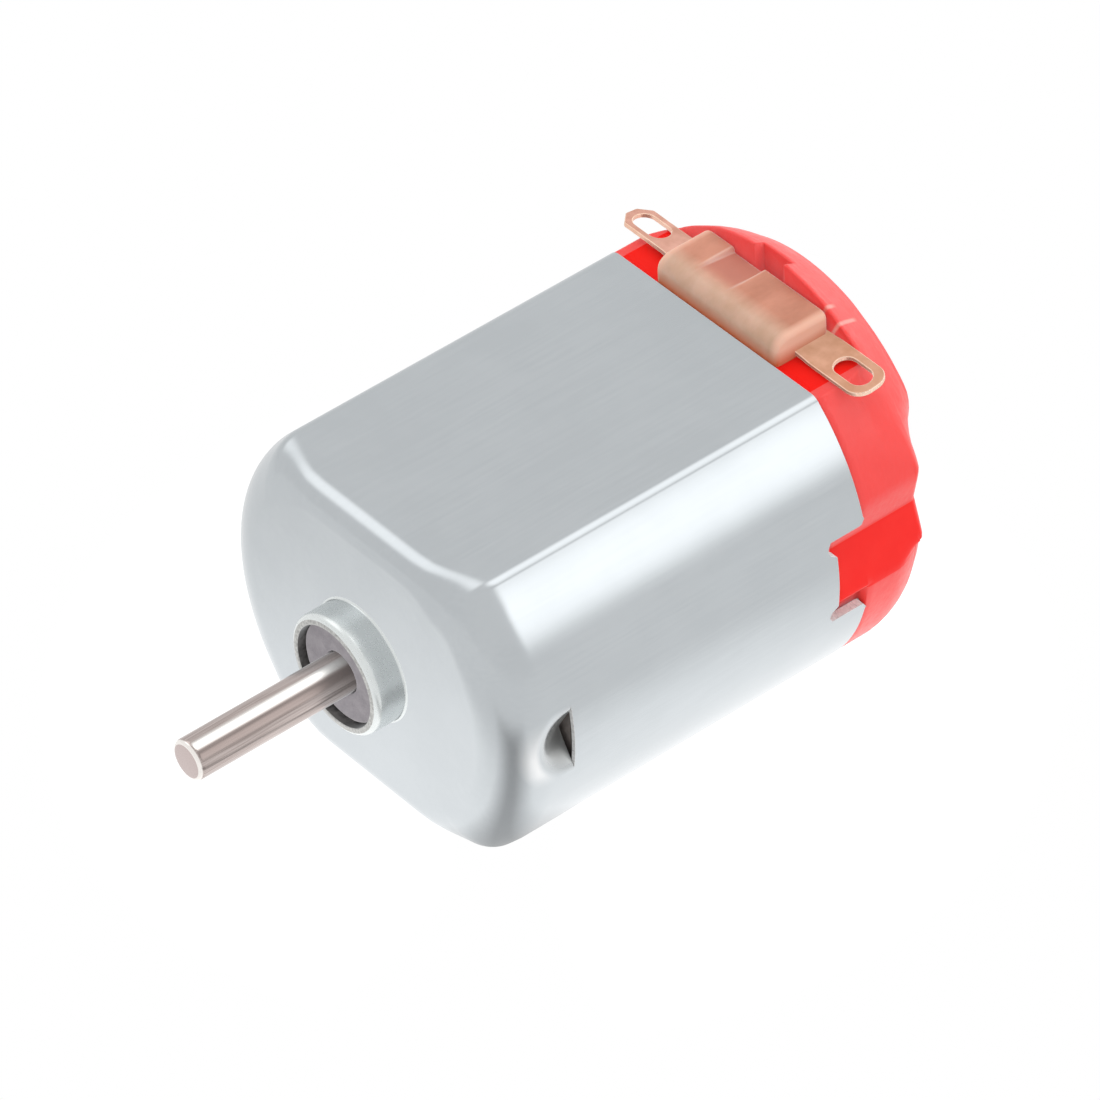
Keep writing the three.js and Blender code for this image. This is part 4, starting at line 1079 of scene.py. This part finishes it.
def paint_cad_nodes():
    """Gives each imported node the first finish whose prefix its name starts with."""
    black = (0.012, 0.012, 0.013), (0.03, 0.03, 0.032), 0, (0.4, 0.55), 4
    finishes = {
        "magnet_spring": plain(
            "spring_steel", (0.42, 0.43, 0.45), (0.55, 0.56, 0.58), 1, (0.25, 0.4), 2, (5, 0.5, 5)
        ),
        "magnet_": plain("ferrite", (0.17, 0.15, 0.14), (0.27, 0.235, 0.22), 0, (0.6, 0.8), 5),
        "brush_arm": copper("phosphor_bronze", (0.62, 0.36, 0.2), (0.75, 0.47, 0.28)),
        "brush_": plain("carbon", (0.015, 0.015, 0.016), (0.04, 0.04, 0.042), 0, (0.5, 0.75), 8),
        "lamination": plain(
            "plate_steel", (0.28, 0.29, 0.3), (0.44, 0.45, 0.46), 1, (0.35, 0.5), 3, (3, 0.5, 3)
        ),
        "insulator": plain("pressed_board", (0.03, 0.1, 0.05), (0.05, 0.16, 0.08), 0, (0.6, 0.8), 4),
        "coil": plain(
            "enamelled_wire", (0.30, 0.07, 0.02), (0.62, 0.2, 0.06), 0.9, (0.2, 0.35), 2, (0.3, 5, 5), 0.05
        ),
        "commutator_segment": copper("commutator_copper", (0.7, 0.36, 0.2), (0.85, 0.5, 0.3)),
        "commutator_": plain("black_moulding", *black),
        "front_spacer": plain("spacer_moulding", *black),
        "varistor": plain("varistor_ceramic", (0.03, 0.04, 0.05), (0.07, 0.08, 0.1), 0, (0.5, 0.7), 6),
        "washer": plain("washer_plastic", (0.75, 0.72, 0.62), (0.85, 0.82, 0.73), 0, (0.4, 0.55), 4),
    }
    for name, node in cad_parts.items():
        for prefix, material in finishes.items():
            if name.startswith(prefix):
                for slot in node.material_slots:
                    slot.material = material
                break


# ---- Studio ----

FLOOR_HALF = 3.0
GLOW_REACH, GLOW_LEVELS = (0.011, 0.027), (1.27, 0.94)
SHADE_START, SHADE_DIRECTION, SHADE_LEVEL = (0.0090, -0.0105), (0.682, -0.731), 0.45
SHADE_FADE, SHADE_LENGTH, SHADE_WIDTHS = (0.012, 0.021), 0.018, (0.0032, 0.0105)

# Each soft box has a direction, the angles where it is still full and where it ends, and a strength.
SOFT_BOXES = (
    ((0.78, 0.46, 0.45), 8, 21, 0.95),
    ((0.08, 0.46, 0.885), 8, 27, 0.75),
    ((-0.60, -0.12, 0.79), 8, 25, 0.65),
    ((-0.20, 0.97, 0.10), 12, 30, 1.2),
)
ROOM_LIGHT = 0.88


def make_floor():
    """A white floor; reflections see a glow under the motor and a shaded strip at the front right."""
    mesh = bpy.data.meshes.new("floor")
    corners = [(x * FLOOR_HALF, y * FLOOR_HALF, 0) for x, y in ((-1, -1), (1, -1), (1, 1), (-1, 1))]
    mesh.from_pydata(corners, [], [(0, 1, 2, 3)])
    floor = bpy.data.objects.new("floor", mesh)
    bpy.context.scene.collection.objects.link(floor)
    n = Nodes("floor_white", "ShaderNodeNewGeometry", "Position")
    n.tree.nodes.remove(n.shader)

    def past_start(x, y):
        """How far a place is from the strip's start, in the direction (x, y)."""
        start = SHADE_START[0] * x + SHADE_START[1] * y
        return n.maths("SUBTRACT", n.vector_maths("DOT_PRODUCT", n.place, (x, y, 0)), start)

    bright = n.ramp(n.vector_maths("DISTANCE", n.place, (0, 0, 0)), *GLOW_REACH, *GLOW_LEVELS, smooth=True)
    run, aside = SHADE_DIRECTION
    along, across = past_start(run, aside), past_start(-aside, run)
    width = n.ramp(along, 0, SHADE_LENGTH, *SHADE_WIDTHS)
    off_strip = n.ramp(n.maths("DIVIDE", n.maths("ABSOLUTE", across), width), 0.15, 1, 0, 1)
    beyond = n.ramp(along, *SHADE_FADE, 0, 1)
    shade = n.ramp(n.maths("MAXIMUM", off_strip, beyond), 0, 1, SHADE_LEVEL, 1)
    direct = n.add("ShaderNodeLightPath").outputs["Is Camera Ray"]
    strength = n.maths("MAXIMUM", n.product(bright, shade), direct)
    glowing = n.add("ShaderNodeEmission", Strength=strength)
    n.put(n.tree.nodes["Material Output"].inputs["Surface"], glowing.outputs["Emission"])
    mesh.materials.append(n.material)


def make_world():
    """An even room with soft boxes at the right rear, overhead, on the left and behind."""
    world = bpy.data.worlds.new("studio")
    bpy.context.scene.world = world
    world.use_nodes = True
    n = Tree(world.node_tree, output="Generated")
    light = ROOM_LIGHT
    for centre, inner, outer, strength in SOFT_BOXES:
        near, far = math.cos(math.radians(inner)), math.cos(math.radians(outer))
        facing = n.vector_maths("DOT_PRODUCT", n.place, Vector(centre).normalized())
        light = n.maths("ADD", light, n.ramp(facing, far, near, 0, strength, smooth=True))
    background = n.tree.nodes["Background"]
    n.put(background.inputs["Strength"], light)
    n.put(background.inputs["Color"], (1, 1, 1, 1))


make_camera()
make_can()
make_boss()
make_end_cap()
make_block()
edge = copper("terminal_edge", (0.88, 0.56, 0.40), (1.0, 0.76, 0.60), (0.2, 0.3), 0.5)
make_terminal("left", -1, False, -8, copper("copper_left", (0.70, 0.355, 0.26), (0.88, 0.49, 0.385)), edge)
make_terminal("right", 1, True, 6, copper("copper_right", (0.63, 0.32, 0.195), (0.79, 0.435, 0.295)), edge)
make_turned_pieces()
paint_cad_nodes()
make_floor()
make_world()
bpy.context.scene.view_settings.view_transform = "Standard"
